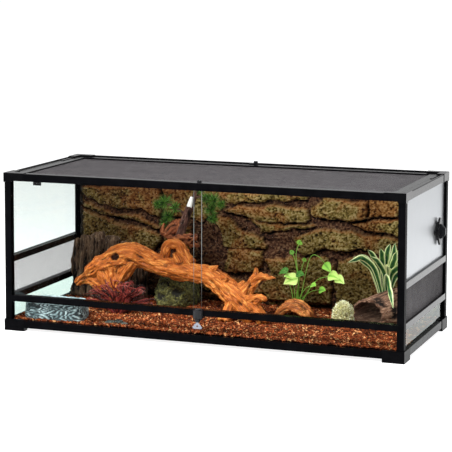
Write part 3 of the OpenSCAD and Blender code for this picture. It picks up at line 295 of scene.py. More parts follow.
# ---- Materials ----
class Nodes:
    """A new material m and its shader nodes, in object coordinates."""

    def __init__(self, name, **values):
        self.m = bpy.data.materials.new(name)
        self.m.use_nodes = True
        self.t = self.m.node_tree
        self.b = self.put(self.t.nodes["Principled BSDF"], **values)
        self.co = self.add("TexCoord").outputs["Object"]

    def add(self, kind, **props):
        n = self.t.nodes.new("ShaderNode" + kind)
        for k, v in props.items():
            setattr(n, k, v)
        return n

    def set(self, socket, v):
        """Link the socket to another one, or give it a value."""
        if isinstance(v, bpy.types.NodeSocket):
            self.t.links.new(v, socket)
        else:
            socket.default_value = v

    def put(self, n, **vals):
        for k, v in vals.items():
            self.set(n.inputs[k.replace("_", " ")], v)
        return n

    def attr(self, name):
        return self.add("Attribute", attribute_name=name).outputs["Fac"]

    def scaled(self, xyz, vec):
        return self.put(self.add("Mapping"), Vector=vec, Scale=xyz).outputs[0]

    def noise(self, scale, detail=4.0, rough=0.55, warp=0.0, vec=None):
        n = self.add("TexNoise")
        self.put(n, Vector=vec or self.co, Scale=scale, Detail=detail, Roughness=rough, Distortion=warp)
        return n.outputs["Fac"]

    def cells(self, scale):
        return self.put(self.add("TexVoronoi"), Vector=self.co, Scale=scale).outputs["Distance"]

    def ramp(self, fac, *stops):
        n = self.add("ValToRGB")
        e = n.color_ramp.elements
        while len(e) < len(stops):
            e.new(0.5)
        for s, (p, c) in zip(e, stops):
            s.position = p
            s.color = (*c, 1) if isinstance(c, tuple) else (c, c, c, 1)
        self.t.links.new(fac, n.inputs[0])
        return n.outputs[0]

    def mix(self, fac, a, b, mode="MIX"):
        n = self.add("Mix", data_type="RGBA", blend_type=mode)
        for i, v in ((0, fac), (6, a), (7, b)):
            self.set(n.inputs[i], (*v, 1) if isinstance(v, tuple) else v)
        return n.outputs[2]

    def math(self, op, a, b=0.5, clamp=False):
        n = self.add("Math", operation=op, use_clamp=clamp)
        for socket, v in zip(n.inputs, (a, b)):
            self.set(socket, v)
        return n.outputs[0]

    def blend(self, fac, a, b):
        """Mix of the shaders of two nodes."""
        n = self.add("MixShader")
        for socket, v in zip(n.inputs, (fac, a.outputs[0], b.outputs[0])):
            self.set(socket, v)
        return n

    def color(self, c):
        self.put(self.b, Base_Color=c)

    def rough(self, fac, lo, hi):
        """Roughness between two stops of a value."""
        self.put(self.b, Roughness=self.ramp(fac, lo, hi))

    def bump(self, h, strength, dist):
        n = self.put(self.add("Bump"), Strength=strength, Distance=dist, Height=h)
        self.put(self.b, Normal=n.outputs[0])


def moulded(name, lo, hi, rough, grain, bump, ior=1.5, metal=0.0, weight=0.0):
    """Plastic, paint or metal with a faint mottle, and a lacquer of that weight seen at a flat angle."""
    n = Nodes(name, IOR=ior, Metallic=metal)
    n.color(n.ramp(n.noise(30.0, 5.0, 0.6), (0.3, lo), (0.7, hi)))
    n.rough(n.noise(93.0, 4.0), (0.3, rough[0]), (0.75, rough[1]))
    n.bump(n.noise(grain, 2.0), bump, 0.0002)
    if weight:
        face = n.put(n.add("LayerWeight"), Blend=0.5).outputs["Facing"]
        n.put(n.b, Coat_IOR=2.2, Coat_Roughness=0.16, Coat_Weight=n.ramp(face, (0.2, 0.0), (0.62, weight)))
    return n.m


def glass(name, tint, haze=1.1, edge=None, marks=0.0, power=2.2, sheen=(0.93, 0.97, 0.96), blur=0.03):
    """Thin glass that mirrors more at a flat angle, with faint smears and cut edges in a diffuse colour that
    darkens towards the bottom.
    """
    n = Nodes(name)
    n.t.nodes.remove(n.b)
    clear = n.put(n.add("BsdfTransparent"), Color=(*tint, 1))
    shine = n.put(n.add("BsdfGlossy"), Color=(*sheen, 1), Roughness=blur)
    face = n.put(n.add("LayerWeight"), Blend=0.5).outputs["Facing"]
    geo = n.add("NewGeometry")
    front = n.math("SUBTRACT", 1.0, geo.outputs["Backfacing"])
    amount = n.math("MULTIPLY", n.math("POWER", face, power), haze)
    if marks:
        amount = n.math("ADD", amount, n.ramp(n.noise(14.0, 5.0, 0.6, 1.0), (0.45, 0.0), (0.75, marks)))
    amount = n.math("MULTIPLY", amount, front, True)
    pane = n.blend(amount, clear, shine)
    if edge:
        high = n.put(n.add("SeparateXYZ"), Vector=n.add("TexCoord").outputs["Generated"])
        tone = n.ramp(high.outputs[2], (0.1, (0.1, 0.09, 0.08)), (0.7, edge))
        side = n.put(n.add("SeparateXYZ"), Vector=geo.outputs["True Normal"])
        cut = n.math("GREATER_THAN", n.math("ABSOLUTE", side.outputs[0]), 0.9)
        pane = n.blend(cut, pane, n.put(n.add("BsdfDiffuse"), Color=tone))
    n.set(n.t.nodes["Material Output"].inputs[0], pane.outputs[0])
    return n.m


BLACK = (0.0012, 0.0012, 0.0015), (0.0026, 0.0026, 0.0033)
CORNER = (0.0016, 0.0016, 0.002), (0.0034, 0.0034, 0.004)
SHEEN = (0.86, 0.87, 0.88)


def painted(name, weight, tones=BLACK, rough=(0.2, 0.3), grain=900.0):
    return moulded(name, *tones, rough, grain, 0.04, 1.06, weight=weight)


black = painted("satin_black", 0.62)
black_low = painted("satin_black_low", 0.3)
black_post = painted("satin_black_post", 0.0, rough=(0.25, 0.36))
corner = painted("corner_black", 0.7, CORNER, (0.28, 0.4), 1600.0)
corner_low = painted("corner_black_low", 0.22, CORNER, (0.28, 0.4), 1600.0)
fitting = moulded("fitting_black", (0.003, 0.003, 0.0036), (0.008, 0.008, 0.01), (0.16, 0.3), 1300.0, 0.1,
                  1.3)
# Dark grey wire, its colour raised partly as a painted sheen of the wires seen at a flat angle.
wire = moulded("wire_grey_and_sheen", (0.058, 0.054, 0.057), (0.1, 0.093, 0.098), (0.35, 0.5), 700.0, 0.1, 1.25)
steel = moulded("bright_steel", (0.15, 0.16, 0.19), (0.3, 0.31, 0.36), (0.12, 0.3), 2200.0, 0.1, metal=1.0)
turned = moulded("turned_steel", (0.012, 0.012, 0.013), (0.05, 0.05, 0.055), (0.2, 0.35), 2200.0, 0.1,
                 metal=1.0)
door_glass = glass("door_glass", (0.985, 0.995, 0.99), edge=(0.42, 0.43, 0.42), power=3.4)
front_glass = glass("front_glass", (0.98, 0.994, 0.988), power=3.4)
wall_glass = glass("wall_glass", (0.985, 0.995, 0.99))
side_glass = glass("side_glass", (0.95, 0.985, 0.975), 0.98, marks=0.02, sheen=SHEEN)
right_glass = glass("right_glass", (0.9, 0.97, 0.96), 1.75, marks=0.02, sheen=(0.52, 0.535, 0.55), blur=0.3)
low_glass = glass("low_side_glass", (0.71, 0.79, 0.76), 0.5, marks=0.02, sheen=(0.86, 0.9, 0.88))

# The first start that fits a CAD node's name gives its material.
FINISH = (("cap_", corner), ("foot_", corner_low), ("bottom_rail", black_low), ("post_", black_post),
          (("door_l", "door_r"), door_glass), ("upper_pane_left", side_glass),
          ("upper_pane_right", right_glass),
          ("lower_side_panes", low_glass), ("lower_front_pane", front_glass),
          (("back_pane", "base_pane"), wall_glass),
          (("corner_screws", "key"), steel), ("lock_cylinder", turned),
          (("port_", "latch_", "inlet_", "door_stop", "lock_h"), fitting), ("", black))
for name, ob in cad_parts.items():
    ob.data.materials.clear()
    ob.data.materials.append(next(m for start, m in FINISH if name.startswith(start)))


# ---- Woven wire of lid and vents ----
def weave(w, d, pitch, t):
    """Crossing wires over w by d, as long boxes, centred, in the XY plane."""
    nx, ny, lift = int(w / pitch), int(d / pitch), t * 0.28
    parts = [(BOX * (t, d, t) + (-w / 2 + i * w / nx, 0, lift), [BOX_FACES]) for i in range(nx + 1)]
    parts += [(BOX * (w, t, t) + (0, -d / 2 + j * d / ny, -lift), [BOX_FACES]) for j in range(ny + 1)]
    return join(parts)


LID_OPENING, LID_HOLD, LID_Z = (1118, 418), 9, 454.6
VENT_OPENING, VENT_HOLD, VENT_X, VENT_Z = (458, 95), 7, 589.5, 153.5
V, F = weave(*(v + LID_HOLD for v in LID_OPENING), 2.9, 0.62)
piece("lid_wire", V + (0, 0, LID_Z), F, wire, "lid", False, replaces=["lid_mesh"])
for s, node in ((-1, "vent_mesh_left"), (1, "vent_mesh_right")):
    V, F = weave(*(v + VENT_HOLD for v in VENT_OPENING), 2.6, 0.5)
    V = np.stack([V[:, 2] + s * VENT_X, V[:, 0], V[:, 1] + VENT_Z], 1)
    piece(node.replace("mesh", "wire"), V, F, wire, "tank", False, replaces=[node])


# ---- Rock panel ----
ROCK_BACK, ROCK_W, ROCK_LOW, ROCK_TOP = 237.2, 577, 34, 439.8
# How far a block of rock stands out, and its outline.
BLOCKS = [
    (46, (-578, 370), (-291, 382), (-293, 284), (-333, 292), (-364, 305), (-410, 310), (-453, 304),
     (-500, 323), (-578, 356)),
    (42, (-578, 345), (-504, 308), (-453, 286), (-410, 290), (-364, 286), (-333, 268), (-296, 255),
     (-296, 247), (-364, 264), (-426, 273), (-453, 278), (-504, 290), (-578, 318)),
    (45, (-578, 312), (-504, 283), (-453, 269), (-426, 258), (-364, 252), (-296, 236), (-293, 203),
     (-333, 152), (-426, 130), (-578, 120)),
    (36, (-287, 375), (-105, 381), (-72, 354), (-109, 310), (-158, 275), (-195, 291), (-279, 286)),
    (34, (-279, 254), (-233, 264), (-192, 256), (-184, 195), (-233, 178), (-287, 189)),
    (40, (-241, 96), (-195, 95), (-150, 91), (-97, 76), (-105, 63), (-161, 74), (-233, 83)),
    (44, (-111, 378), (49, 382), (190, 378), (182, 367), (49, 354), (-15, 349), (-47, 337), (-87, 345),
     (-111, 355)),
    (48, (-91, 320), (-30, 332), (88, 343), (176, 340), (182, 310), (167, 294), (49, 292), (-2, 292),
     (-30, 310)),
    (40, (-14, 291), (49, 288), (163, 285), (194, 291), (196, 283), (159, 275), (112, 270), (41, 259),
     (22, 273)),
    (46, (-111, 302), (-62, 300), (-18, 255), (49, 246), (52, 212), (-30, 199), (-78, 206), (-94, 253)),
    (45, (-72, 200), (42, 203), (50, 178), (22, 142), (-30, 123), (-86, 135), (-88, 154)),
    (50, (188, 344), (244, 371), (359, 374), (361, 321), (321, 310), (244, 312), (190, 320)),
    (45, (366, 384), (560, 386), (560, 332), (397, 324), (367, 320)),
    (48, (321, 303), (359, 309), (480, 324), (570, 318), (570, 262), (416, 276), (340, 292)),
    (49, (148, 250), (206, 274), (268, 282), (360, 272), (570, 254), (570, 222), (410, 214), (341, 232),
     (284, 212), (237, 226), (199, 202), (168, 191), (148, 213)),
    (42, (52, 177), (113, 185), (168, 184), (245, 194), (261, 169), (258, 98), (247, 48), (59, 34), (22, 89),
     (66, 133)),
    (38, (269, 188), (322, 194), (387, 205), (570, 204), (570, 40), (270, 40)),
    (40, (-578, 440), (-330, 440), (-340, 388), (-578, 378)),
    (38, (-320, 440), (60, 440), (40, 392), (-318, 390)),
    (44, (70, 440), (570, 440), (570, 394), (80, 390)),
    (42, (-168, 132), (-96, 116), (-30, 108), (46, 80), (30, 68), (-100, 74), (-168, 84)),
    (36, (-200, 60), (30, 66), (40, 34), (-200, 34)),
]


def inside(X, Z, poly):
    """Signed distance to a polygon's outline, positive within it."""
    best, odd = np.full(X.shape, 1e9), np.zeros(X.shape, bool)
    P = np.array(poly, float)
    for (ax, az), (bx, bz) in zip(P, np.roll(P, -1, 0)):
        dx, dz = bx - ax, bz - az
        t = limit(((X - ax) * dx + (Z - az) * dz) / (dx * dx + dz * dz))
        best = np.minimum(best, np.hypot(X - ax - t * dx, Z - az - t * dz))
        if az != bz:
            odd ^= ((az > Z) != (bz > Z)) & (X < ax + (Z - az) * dx / dz)
    return np.where(odd, best, -best)


def rock_depth(X, Z):
    """How far the rock stands out of its flat back, how much of it is a raised block, its texture with
    painted shade in the gaps and at the left end and a painted highlight along block tops, and that
    highlight's mask.
    """
    q = np.stack([X, Z * 1.3, X * 0], -1)
    WX = X + 9 * vnoise(q / 40 + 3) + 3.5 * vnoise(q / 13 + 5)
    WZ = Z + 6 * vnoise(q / 36 + 11) + 3 * vnoise(q / 12 + 13)
    base = 27 + 6 * vnoise(q / 60 + 1) + 3 * ridged(q / 30 + 2, 2)
    D, block, gap, lit = base.copy(), np.zeros(X.shape), np.zeros(X.shape), np.zeros(X.shape)
    for i, (high, *poly) in enumerate(BLOCKS):
        sd = inside(WX, WZ, poly)
        rise = limit(sd / 7 + 0.35)
        cz = np.mean([p[1] for p in poly])
        top = high + 0.05 * (WZ - cz) * math.sin(2.1 * i) - 3 * limit(1 - sd / 16) ** 2
        new = base + (top - base) * rise ** 0.6
        D = np.where(sd > -3, np.maximum(D, new), D)
        block = np.maximum(block, limit(sd / 5 + 0.5))
        # up and under make a gap stronger below a block, where shade falls. gap sinks the surface and is
        # painted shade in the texture. lit marks block tops for a painted highlight.
        up = np.gradient(sd, axis=0) / (Z[1, 0] - Z[0, 0])
        under = np.clip(0.45 + 0.75 * up, 0.12, 1)
        gap = np.maximum(gap, under * limit(1 - np.abs(sd + 2 + 2 * under) / (1.5 + 3.5 * under)))
        lit = np.maximum(lit, limit(1 - np.abs(sd - 3) / 7) * limit(-up))
    gap = gap * (1 - block) * np.clip(0.75 + 0.9 * vnoise(q / 34 + 31), 0.1, 1)
    D = D - 10 * gap
    lumps = vnoise(q / 26 + 21)
    grain = ridged(np.stack([WX / 7.4, WZ / 5.8, X * 0 + 7], -1), 2) / 1.5
    crumb = fbm(np.stack([X / 4.4, Z / 4.0, X * 0 + 2], -1), 2)
    tex = 0.47 + 0.36 * grain + 0.34 * crumb
    D = D + 2.2 * lumps + block * (3.1 * grain + 1.7 * crumb) + (1 - block) * (0.9 * grain + 0.7 * crumb)
    cap = 19 + np.maximum(0, Z - 44) * 2
    ends = (575 - np.abs(X)) / 50 + 0.45
    D = np.minimum(D, cap) * np.clip(ends, 0.2, 1)
    # Painted shade in the gaps and at the panel's left end, and a painted highlight along block tops.
    tex = (tex - 0.7 * gap + 0.22 * lit) * np.clip((X + 566) / 14, 0.15, 1)
    return np.clip(D, 3, 52), block, limit(tex), lit


nx, nz = 640, 236
X, Z = np.meshgrid(np.linspace(-ROCK_W, ROCK_W, nx), np.linspace(ROCK_LOW, ROCK_TOP, nz))
D, block, tex, lit = rock_depth(X, Z)
# Darker towards the left and towards the bottom of the rock, with noise.
darker_left_low = np.clip(0.3 + limit((-110 - X) / 330) * 0.5 + limit((120 - Z) / 110) * 0.3
               + 0.25 * vnoise(np.stack([X / 90, Z / 60, X * 0 + 41], -1)), 0, 0.85)
rock_V, rock_F, far = slab(np.stack([X, ROCK_BACK - D, Z], -1).reshape(-1, 3), nx, nz, 1, ROCK_BACK)
rock_attrs = {}
for key, v, at_back in (("tex", tex, 0.4), ("block", block, 0.3), ("lit", lit, 0.0), ("darker_left_low", darker_left_low, 0.3)):
    rock_attrs[key] = np.concatenate([v.ravel(), np.full(far, at_back)])
rock = n = Nodes("rock_foam", IOR=1.18)
tex_in = n.math("ADD", n.attr("tex"), n.ramp(n.noise(210.0, 3.0, 0.75), (0.3, -0.28), (0.7, 0.24)))
c = n.ramp(tex_in, (0.12, (0.006, 0.005, 0.003)), (0.34, (0.05, 0.036, 0.009)), (0.55, (0.2, 0.14, 0.028)),
           (0.78, (0.44, 0.32, 0.075)), (1.0, (0.66, 0.53, 0.2)))
warm = n.ramp(tex_in, (0.12, (0.01, 0.004, 0.002)), (0.4, (0.12, 0.036, 0.009)), (0.7, (0.42, 0.15, 0.03)),
              (1.0, (0.62, 0.32, 0.1)))
# Warm orange in random patches, and as a painted highlight along the top edges of blocks by lit.
c = n.mix(n.math("ADD", n.ramp(n.noise(9.0, 4.0, 0.6, 0.8), (0.46, 0.0), (0.6, 0.85)), n.attr("lit"), True),
          c, warm)
low = n.ramp(tex_in, (0.15, (0.006, 0.004, 0.003)), (0.48, (0.06, 0.03, 0.018)), (0.78, (0.19, 0.085, 0.04)),
             (1.0, (0.36, 0.2, 0.09)))
c = n.mix(n.math("MULTIPLY", n.attr("block"), 0.85), low, c)
c = n.mix(1.0, c, (0.7, 0.7, 0.8), "MULTIPLY")
# Darken the colour towards the left and the bottom by that mask.
c = n.mix(n.attr("darker_left_low"), c, n.mix(1.0, c, (0.2, 0.15, 0.13), "MULTIPLY"))
n.color(c)
n.rough(n.noise(40.0, 4.0), (0.3, 0.6), (0.7, 0.9))
n.bump(n.noise(260.0, 6.0, 0.7), 0.7, 0.0022)


# ---- Wood ----
def wooden(name, deep, mid, light, dark_at=0.3, grain=(1.0, 1.0), rough=(0.45, 0.75)):
    """Grain from the attributes ga, gb (across the limb) and gs (along it), in millimetres."""
    n = Nodes(name, IOR=1.28)
    v = n.add("CombineXYZ")
    for socket, key in zip(v.inputs, ("ga", "gb", "gs")):
        n.set(socket, n.attr(key))
    long = n.scaled((0.055 * grain[0], 0.055 * grain[0], 0.008 * grain[1]), v.outputs[0])
    fine = n.scaled((0.3 * grain[0], 0.3 * grain[0], 0.03 * grain[1]), v.outputs[0])
    g1 = n.noise(2.2, 5.0, 0.6, 1.2, long)
    g2 = n.noise(1.6, 5.0, 0.65, 0.5, fine)
    c = n.ramp(g1, (0.3, deep), (0.5, mid), (0.68, light))
    c = n.mix(n.ramp(g2, (0.35, 0.65), (0.55, 0.0)), c, deep)
    c = n.mix(n.ramp(g2, (0.58, 0.0), (0.75, 0.55)), c, light)
    # Painted shade: hollows, where cav is low, darken towards 0.18 times the deep colour.
    c = n.mix(n.ramp(n.attr("cav"), (dark_at - 0.22, 1.0), (dark_at + 0.2, 0.0)), c,
              tuple(0.18 * x for x in deep))
    n.color(c)
    n.rough(g2, (0.3, rough[0]), (0.7, rough[1]))
    n.bump(n.mix(0.5, g1, g2), 0.7, 0.0025)
    return n.m


def limb_piece(name, limbs, mat, voxel, amp, node=None, dents=(), grain=(16.0, 90.0), fine=1.0, floor=None):
    """Limbs fused into one skin with grain, dents and an end at the floor."""
    parts, lines = [], []
    for L in limbs:
        L, ref = aimed(L, (0, 1, 0))
        V, F, C, r = tube(L, 16, 6, ref)
        parts.append((V, F))
        lines.append((C, r))
    V, N, F = fuse(parts, voxel)
    S, A, R = along(V, lines)
    ga, gb = R * np.cos(A), R * np.sin(A)
    q = np.stack([ga / grain[0], gb / grain[0], S / grain[1]], -1)
    d = amp * (0.9 * ridged(q, 3) - 0.5 + 0.55 * fbm(q * (2.6, 2.6, 2.0) + 5, 3))
    d = d + fine * 0.6 * fbm(q * (7.0, 7.0, 3.5) + 9, 2)
    for c, rad, deep in dents:
        dist = np.linalg.norm(V - np.asarray(c, float), axis=1)
        d = d - deep * limit(1 - (dist / rad) ** 2) ** 0.6
    P = V + N * d[:, None]
    if floor is not None:
        P[:, 2] = np.maximum(P[:, 2], floor)
    # cav is low in hollows, where the materials paint shade.
    cav = limit(0.5 + d / (2.6 * amp))
    return piece(name, P, F, mat, attrs={"ga": ga, "gb": gb, "gs": S, "cav": cav},
                 replaces=[node] if node else ())


drift_mat = wooden("driftwood", (0.15, 0.032, 0.007), (0.56, 0.14, 0.02), (0.88, 0.38, 0.09), 0.2)
trunk = [
    [-484, -12, 101, 8], [-448, -8, 129, 18], [-409, 0, 159, 28], [-361, 10, 184, 34],
    [-315, 18, 198, 34], [-274, 23, 188, 30], [-233, 26, 172, 28], [-189, 28, 162, 28],
    [-143, 28, 157, 29], [-100, 24, 153, 26], [-59, 17, 148, 28], [-23, 8, 131, 30],
    [13, -5, 109, 33], [51, -15, 84, 37], [82, -22, 56, 35], [96, -26, 34, 28],
]
drift = [
    trunk,
    [[-372, 6, 170, 33, 25], [-364, 0, 134, 28, 24], [-360, -8, 106, 20, 20], [-362, -12, 80, 17, 17],
     [-366, -12, 36, 24, 22]],
    [[-452, -8, 122, 12], [-418, -8, 112, 17], [-384, -10, 96, 15], [-362, -12, 80, 14]],
    [[-308, 14, 178, 20], [-330, 6, 148, 20], [-348, -2, 116, 18], [-362, -12, 84, 14]],
    [[-400, -6, 146, 22], [-384, -8, 122, 22], [-370, -10, 100, 17]],
    [[-210, 30, 174, 16], [-211, 32, 206, 13], [-206, 34, 228, 13], [-192, 36, 237, 13],
     [-174, 37, 237, 14], [-160, 36, 228, 15], [-150, 34, 208, 16], [-128, 31, 178, 19]],
    [[-178, 36, 207, 6], [-173, 35, 196, 14], [-166, 32, 182, 18], [-160, 30, 160, 19]],
    [[54, -15, 98, 25], [71, -10, 132, 17], [84, -5, 153, 12], [90, 0, 174, 7], [87, 2, 187, 2.5]],
    [[76, -10, 134, 13], [99, -10, 158, 11], [125, -14, 167, 8], [141, -17, 165, 6], [158, -20, 163, 2.5]],
    [[74, -22, 90, 23], [104, -35, 102, 14], [122, -40, 108, 8], [136, -44, 105, 3.5]],
    ([[30, -20, 92, 21], [22, -44, 62, 17], [14, -58, 34, 18]], (1, 0, 0)),
    ([[78, -24, 80, 25], [112, -40, 62, 19], [132, -46, 34, 16]], (1, 0.3, 0)),
    [[40, -2, 112, 19], [47, 0, 132, 12], [52, 1, 143, 4]],
    [[-60, 14, 158, 12], [-48, 8, 172, 9], [-36, 4, 180, 3]],
    [[-20, 0, 140, 14], [-2, -14, 150, 8], [8, -20, 152, 2.5]],
    [[-330, 12, 214, 14], [-306, 14, 228, 8], [-288, 16, 230, 2.5]],
]
dents = [((-352, -24, 196), 15, 16), ((-130, -2, 146), 8, 5), ((60, -50, 88), 10, 5), ((96, -52, 70), 8, 5)]
limb_piece("driftwood_skin", drift, drift_mat, 2.4, 4.6, "driftwood", dents, (15.0, 40.0), 2.4, GROUND + 0.4)

cork_mat = wooden("cork_bark", (0.016, 0.009, 0.006), (0.1, 0.06, 0.036), (0.3, 0.19, 0.115), 0.5,
                  (1.6, 0.9), (0.75, 0.95))
# Each rib: its x from the wall at top and foot, its top, and its radii.
ribs = [[24, 22, 205, 13, 14], [55, 49, 216, 18, 23], [97, 91, 225, 22, 29], [146, 147, 219, 24, 33],
        [196, 201, 203, 23, 30], [237, 244, 175, 17, 25]]
cork = []
for tx, bx, tz, rd, rw in ribs:
    tx, bx, tz, rw = tx + WALL_L, bx + WALL_L, tz + 6, rw * 0.84
    cork.append(([[bx, 136, 36, rd + 2, rw], [bx * 0.7 + tx * 0.3, 142, 90, rd, rw],
                  [(tx + bx) / 2, 146, 150, rd, rw], [tx, 149, tz - 10, rd - 3, rw - 4],
                  [tx, 150, tz, rd * 0.5, rw * 0.6]], (1, 0, 0)))
limb_piece("cork_skin", cork, cork_mat, 3.2, 4.2, "cork_bark", grain=(11.0, 46.0), fine=2.2,
           floor=GROUND + 0.4)

# ---- Rock panel and boulder ----
piece("rock_skin", rock_V, rock_F, rock.m, attrs=rock_attrs, replaces=["rock_background"])


def dome(c, rx, ry, levels, n, m, rough, amp, scale):
    """Rounded lump: rings at levels of [z, share], refined, with noise."""
    L = smooth(levels, m)
    a = around(n)
    z, share = L[:, :1], L[:, 1:]
    g = share * (1 + rough * np.sin(3 * a + z * 0.05) + rough * 0.7 * np.sin(5 * a))
    V = np.stack([c[0] + rx * g * np.cos(a), c[1] + ry * g * np.sin(a), z + 0 * g], -1).reshape(-1, 3)
    N = unit(np.stack([np.cos(a) + 0 * g, np.sin(a) + 0 * g, 0.25 + 0 * g], -1)).reshape(-1, 3)
    d = amp * (ridged(V / scale, 3) - 0.7 + 0.7 * fbm(V / (scale * 0.4), 3))
    V = V + N * d[:, None]
    # The last value is low in hollows and carries painted shade in the boulder and moss.
    return V, closed(n, len(L)), limit(0.5 + d / (3 * amp))


levels = [[34, 0.95], [52, 1.0], [78, 0.97], [104, 0.84], [120, 0.76], [125.5, 0.66]]
V, F, cv = dome((-214, 143), 64, 78, levels, 160, 12, 0.05, 4.2, 21.0)
V[:, 2] = np.clip(V[:, 2], 34, 126)
V[:, 1] = np.minimum(V[:, 1], 186.6)
n = Nodes("boulder_foam", Roughness=0.8, IOR=1.45)
c = n.ramp(n.noise(150.0, 6.0, 0.7, 0.5), (0.34, (0.015, 0.014, 0.006)), (0.5, (0.085, 0.08, 0.022)),
           (0.66, (0.3, 0.28, 0.07)))
# Painted shade in the hollows, where cav is low.
c = n.mix(n.ramp(n.attr("cav"), (0.2, 1.0), (0.52, 0.0)), c, (0.012, 0.01, 0.005))
n.color(c)
n.bump(n.noise(240.0, 6.0, 0.7), 0.7, 0.002)
piece("boulder_skin", V, F, n.m, attrs={"cav": cv}, replaces=["mossy_boulder"])

# ---- Bark chips ----
rng = np.random.default_rng(7)


def bed(x, y):
    lump = (0.8 * vnoise(np.stack([x / 30, y / 30, x * 0], -1)) + 0.5
            * vnoise(np.stack([x / 11, y / 11, x * 0 + 3], -1)))
    near = limit((-150 - y) / 70) * limit((x + 330) / 60)
    return GROUND + 0.2 + 0.5 * lump + near * (2.4 + 1.6 * lump)


nx, ny = 300, 120
gx, gy = np.meshgrid(np.linspace(-WALL + 0.5, WALL - 0.5, nx), np.linspace(-228.5, 228.5, ny))
bed_V, bed_F, far = slab(np.stack([gx, gy, bed(gx, gy) - 0.6], -1).reshape(-1, 3), nx, ny, 2, 21.2)
chip = n = Nodes("bark_chips", IOR=1.2)
tone = n.attr("tone")
c = n.ramp(tone, (0.0, (0.01, 0.003, 0.002)), (0.34, (0.05, 0.01, 0.004)), (0.64, (0.2, 0.038, 0.012)),
           (0.86, (0.5, 0.12, 0.034)), (1.0, (0.78, 0.42, 0.18)))
c = n.mix(n.ramp(n.noise(300.0, 4.0, 0.7), (0.4, 0.0), (0.7, 0.2)), c, (0.5, 0.13, 0.035))
n.color(c)
n.rough(n.noise(90.0, 3.0), (0.3, 0.6), (0.7, 0.95))
n.bump(n.noise(800.0, 4.0, 0.7), 0.6, 0.001)
# The bed under the loose chips is near black: painted shade between the chips.
piece("chip_bed", bed_V, bed_F, chip.m, attrs={"tone": np.full(len(bed_V), 0.08)}, replaces=["substrate"])


def chips(count, xs, ys, size, lift, reach):
    """Rough flat splinters strewn over the bed, kept within reach of the middle."""
    x = rng.uniform(*xs, count)
    y = rng.uniform(*ys, count)
    L = rng.uniform(*size, count)
    w = L * rng.uniform(0.25, 0.6, count)
    t = rng.uniform(0.8, 2.8, count)
    yaw = rng.uniform(0, 2 * np.pi, count)
    pitch = rng.normal(0, 0.42, count)
    roll = rng.normal(0, 0.6, count)
    P = BOX * (1 + rng.uniform(-0.35, 0.35, (count, 8, 3))) * np.stack([L, w, t], -1)[:, None]
    X, Y, Z = P[..., 0], P[..., 1], P[..., 2]
    (cr, sr), (cp, sp), (cy, sy) = ((np.cos(a)[:, None], np.sin(a)[:, None]) for a in (roll, pitch, yaw))
    Y, Z = Y * cr - Z * sr, Y * sr + Z * cr
    X, Z = X * cp + Z * sp, -X * sp + Z * cp
    X, Y = X * cy - Y * sy, X * sy + Y * cy
    top = bed(x, y) + rng.uniform(-0.2, 1.0, count) * lift
    V = np.stack([np.clip(X + x[:, None], -reach[0], reach[0]), np.clip(Y + y[:, None], -reach[1], 228.4),
                  np.maximum(Z + top[:, None], 32.15)], -1)
    tone = limit(rng.normal(0.5, 0.27, count) + (rng.random(count) > 0.96) * 0.4)
    return V.reshape(-1, 3), copies(BOX_FACES, 8, count), np.repeat(tone, 8)


CHIPS = 13000
parts = [chips(CHIPS, (-576, 576), (-100, 226), (4.0, 12.0), 1.0, (578.4, 228.4)),
         chips(CHIPS, (-586, 586), (-237, -100), (3.2, 11.0), 1.8, (586.5, 236.8))]
V, F = join([(V, [Q]) for V, Q, tone in parts])
piece("loose_chips", V, F, chip.m, shade=False, attrs={"tone": np.concatenate([p[2] for p in parts])})

# ---- Water dish ----
DISH, DISH_W, DISH_D, DISH_H = (-459.0, -163.5), 186.0, 137.0, 49.0


def dish_skin():
    """Walls, rim and bowl of the dish: rings of width, depth and height, rock-like on the outside."""
    w, d, rim, seat = DISH_W, DISH_D, FLOOR + DISH_H, FLOOR
    outer = [(w - 12, d - 10, seat), (w - 4, d - 4, seat + 5), (w - 6, d - 5, seat + 22),
             (w - 10, d - 8, rim - 6), (w - 14, d - 12, rim - 0.5)]
    inner = [(w - 18, d - 18, rim - 1), (w - 22, d - 22, rim - 8), (w - 32, d - 32, rim - 24),
             (w - 56, d - 52, seat + 12), (w - 120, d - 100, seat + 10.5), (10, 6, seat + 10)]
    L = smooth(outer + inner, 7)
    n = 200
    c, s = np.cos(around(n)), np.sin(around(n))
    square = 1 / (np.abs(c) ** 4.2 + np.abs(s) ** 4.2) ** (1 / 4.2)
    V = np.stack([L[:, :1] / 2 * square * c, DISH[1] + L[:, 1:2] / 2 * square * s,
                  L[:, 2:] + 0 * square[None]], -1)
    f = (DISH[1] - V[..., 1]) / 68
    V[..., 0] = DISH[0] - 11 + 10 * f + V[..., 0] * (1.03 + 0.075 * f)
    N = unit(np.cross(np.gradient(V, axis=1), np.gradient(V, axis=0))).reshape(-1, 3)
    P = V.reshape(-1, 3)
    warp = fbm(P / (62, 62, 22), 3)
    wave = np.sin(7.5 * warp + P[:, 2] * 0.42 + P[:, 0] * 0.13)
    d = 2.4 * (1 - np.abs(wave)) - 2.2 + 0.5 * fbm(P / 7, 2)
    d = d * np.where(np.repeat(np.arange(len(L)) < len(outer) * 7, n), 1.0, 0.35)
    V = P + N * d[:, None]
    V[:, 2] = np.maximum(V[:, 2], seat)
    return V, closed(n, len(L)), limit(0.62 + d / 3.2)


n = Nodes("dish_resin", IOR=1.5)
c = n.ramp(n.noise(22.0, 5.0, 0.6, 0.6), (0.32, (0.05, 0.09, 0.1)), (0.5, (0.26, 0.36, 0.38)),
           (0.68, (0.62, 0.74, 0.76)))
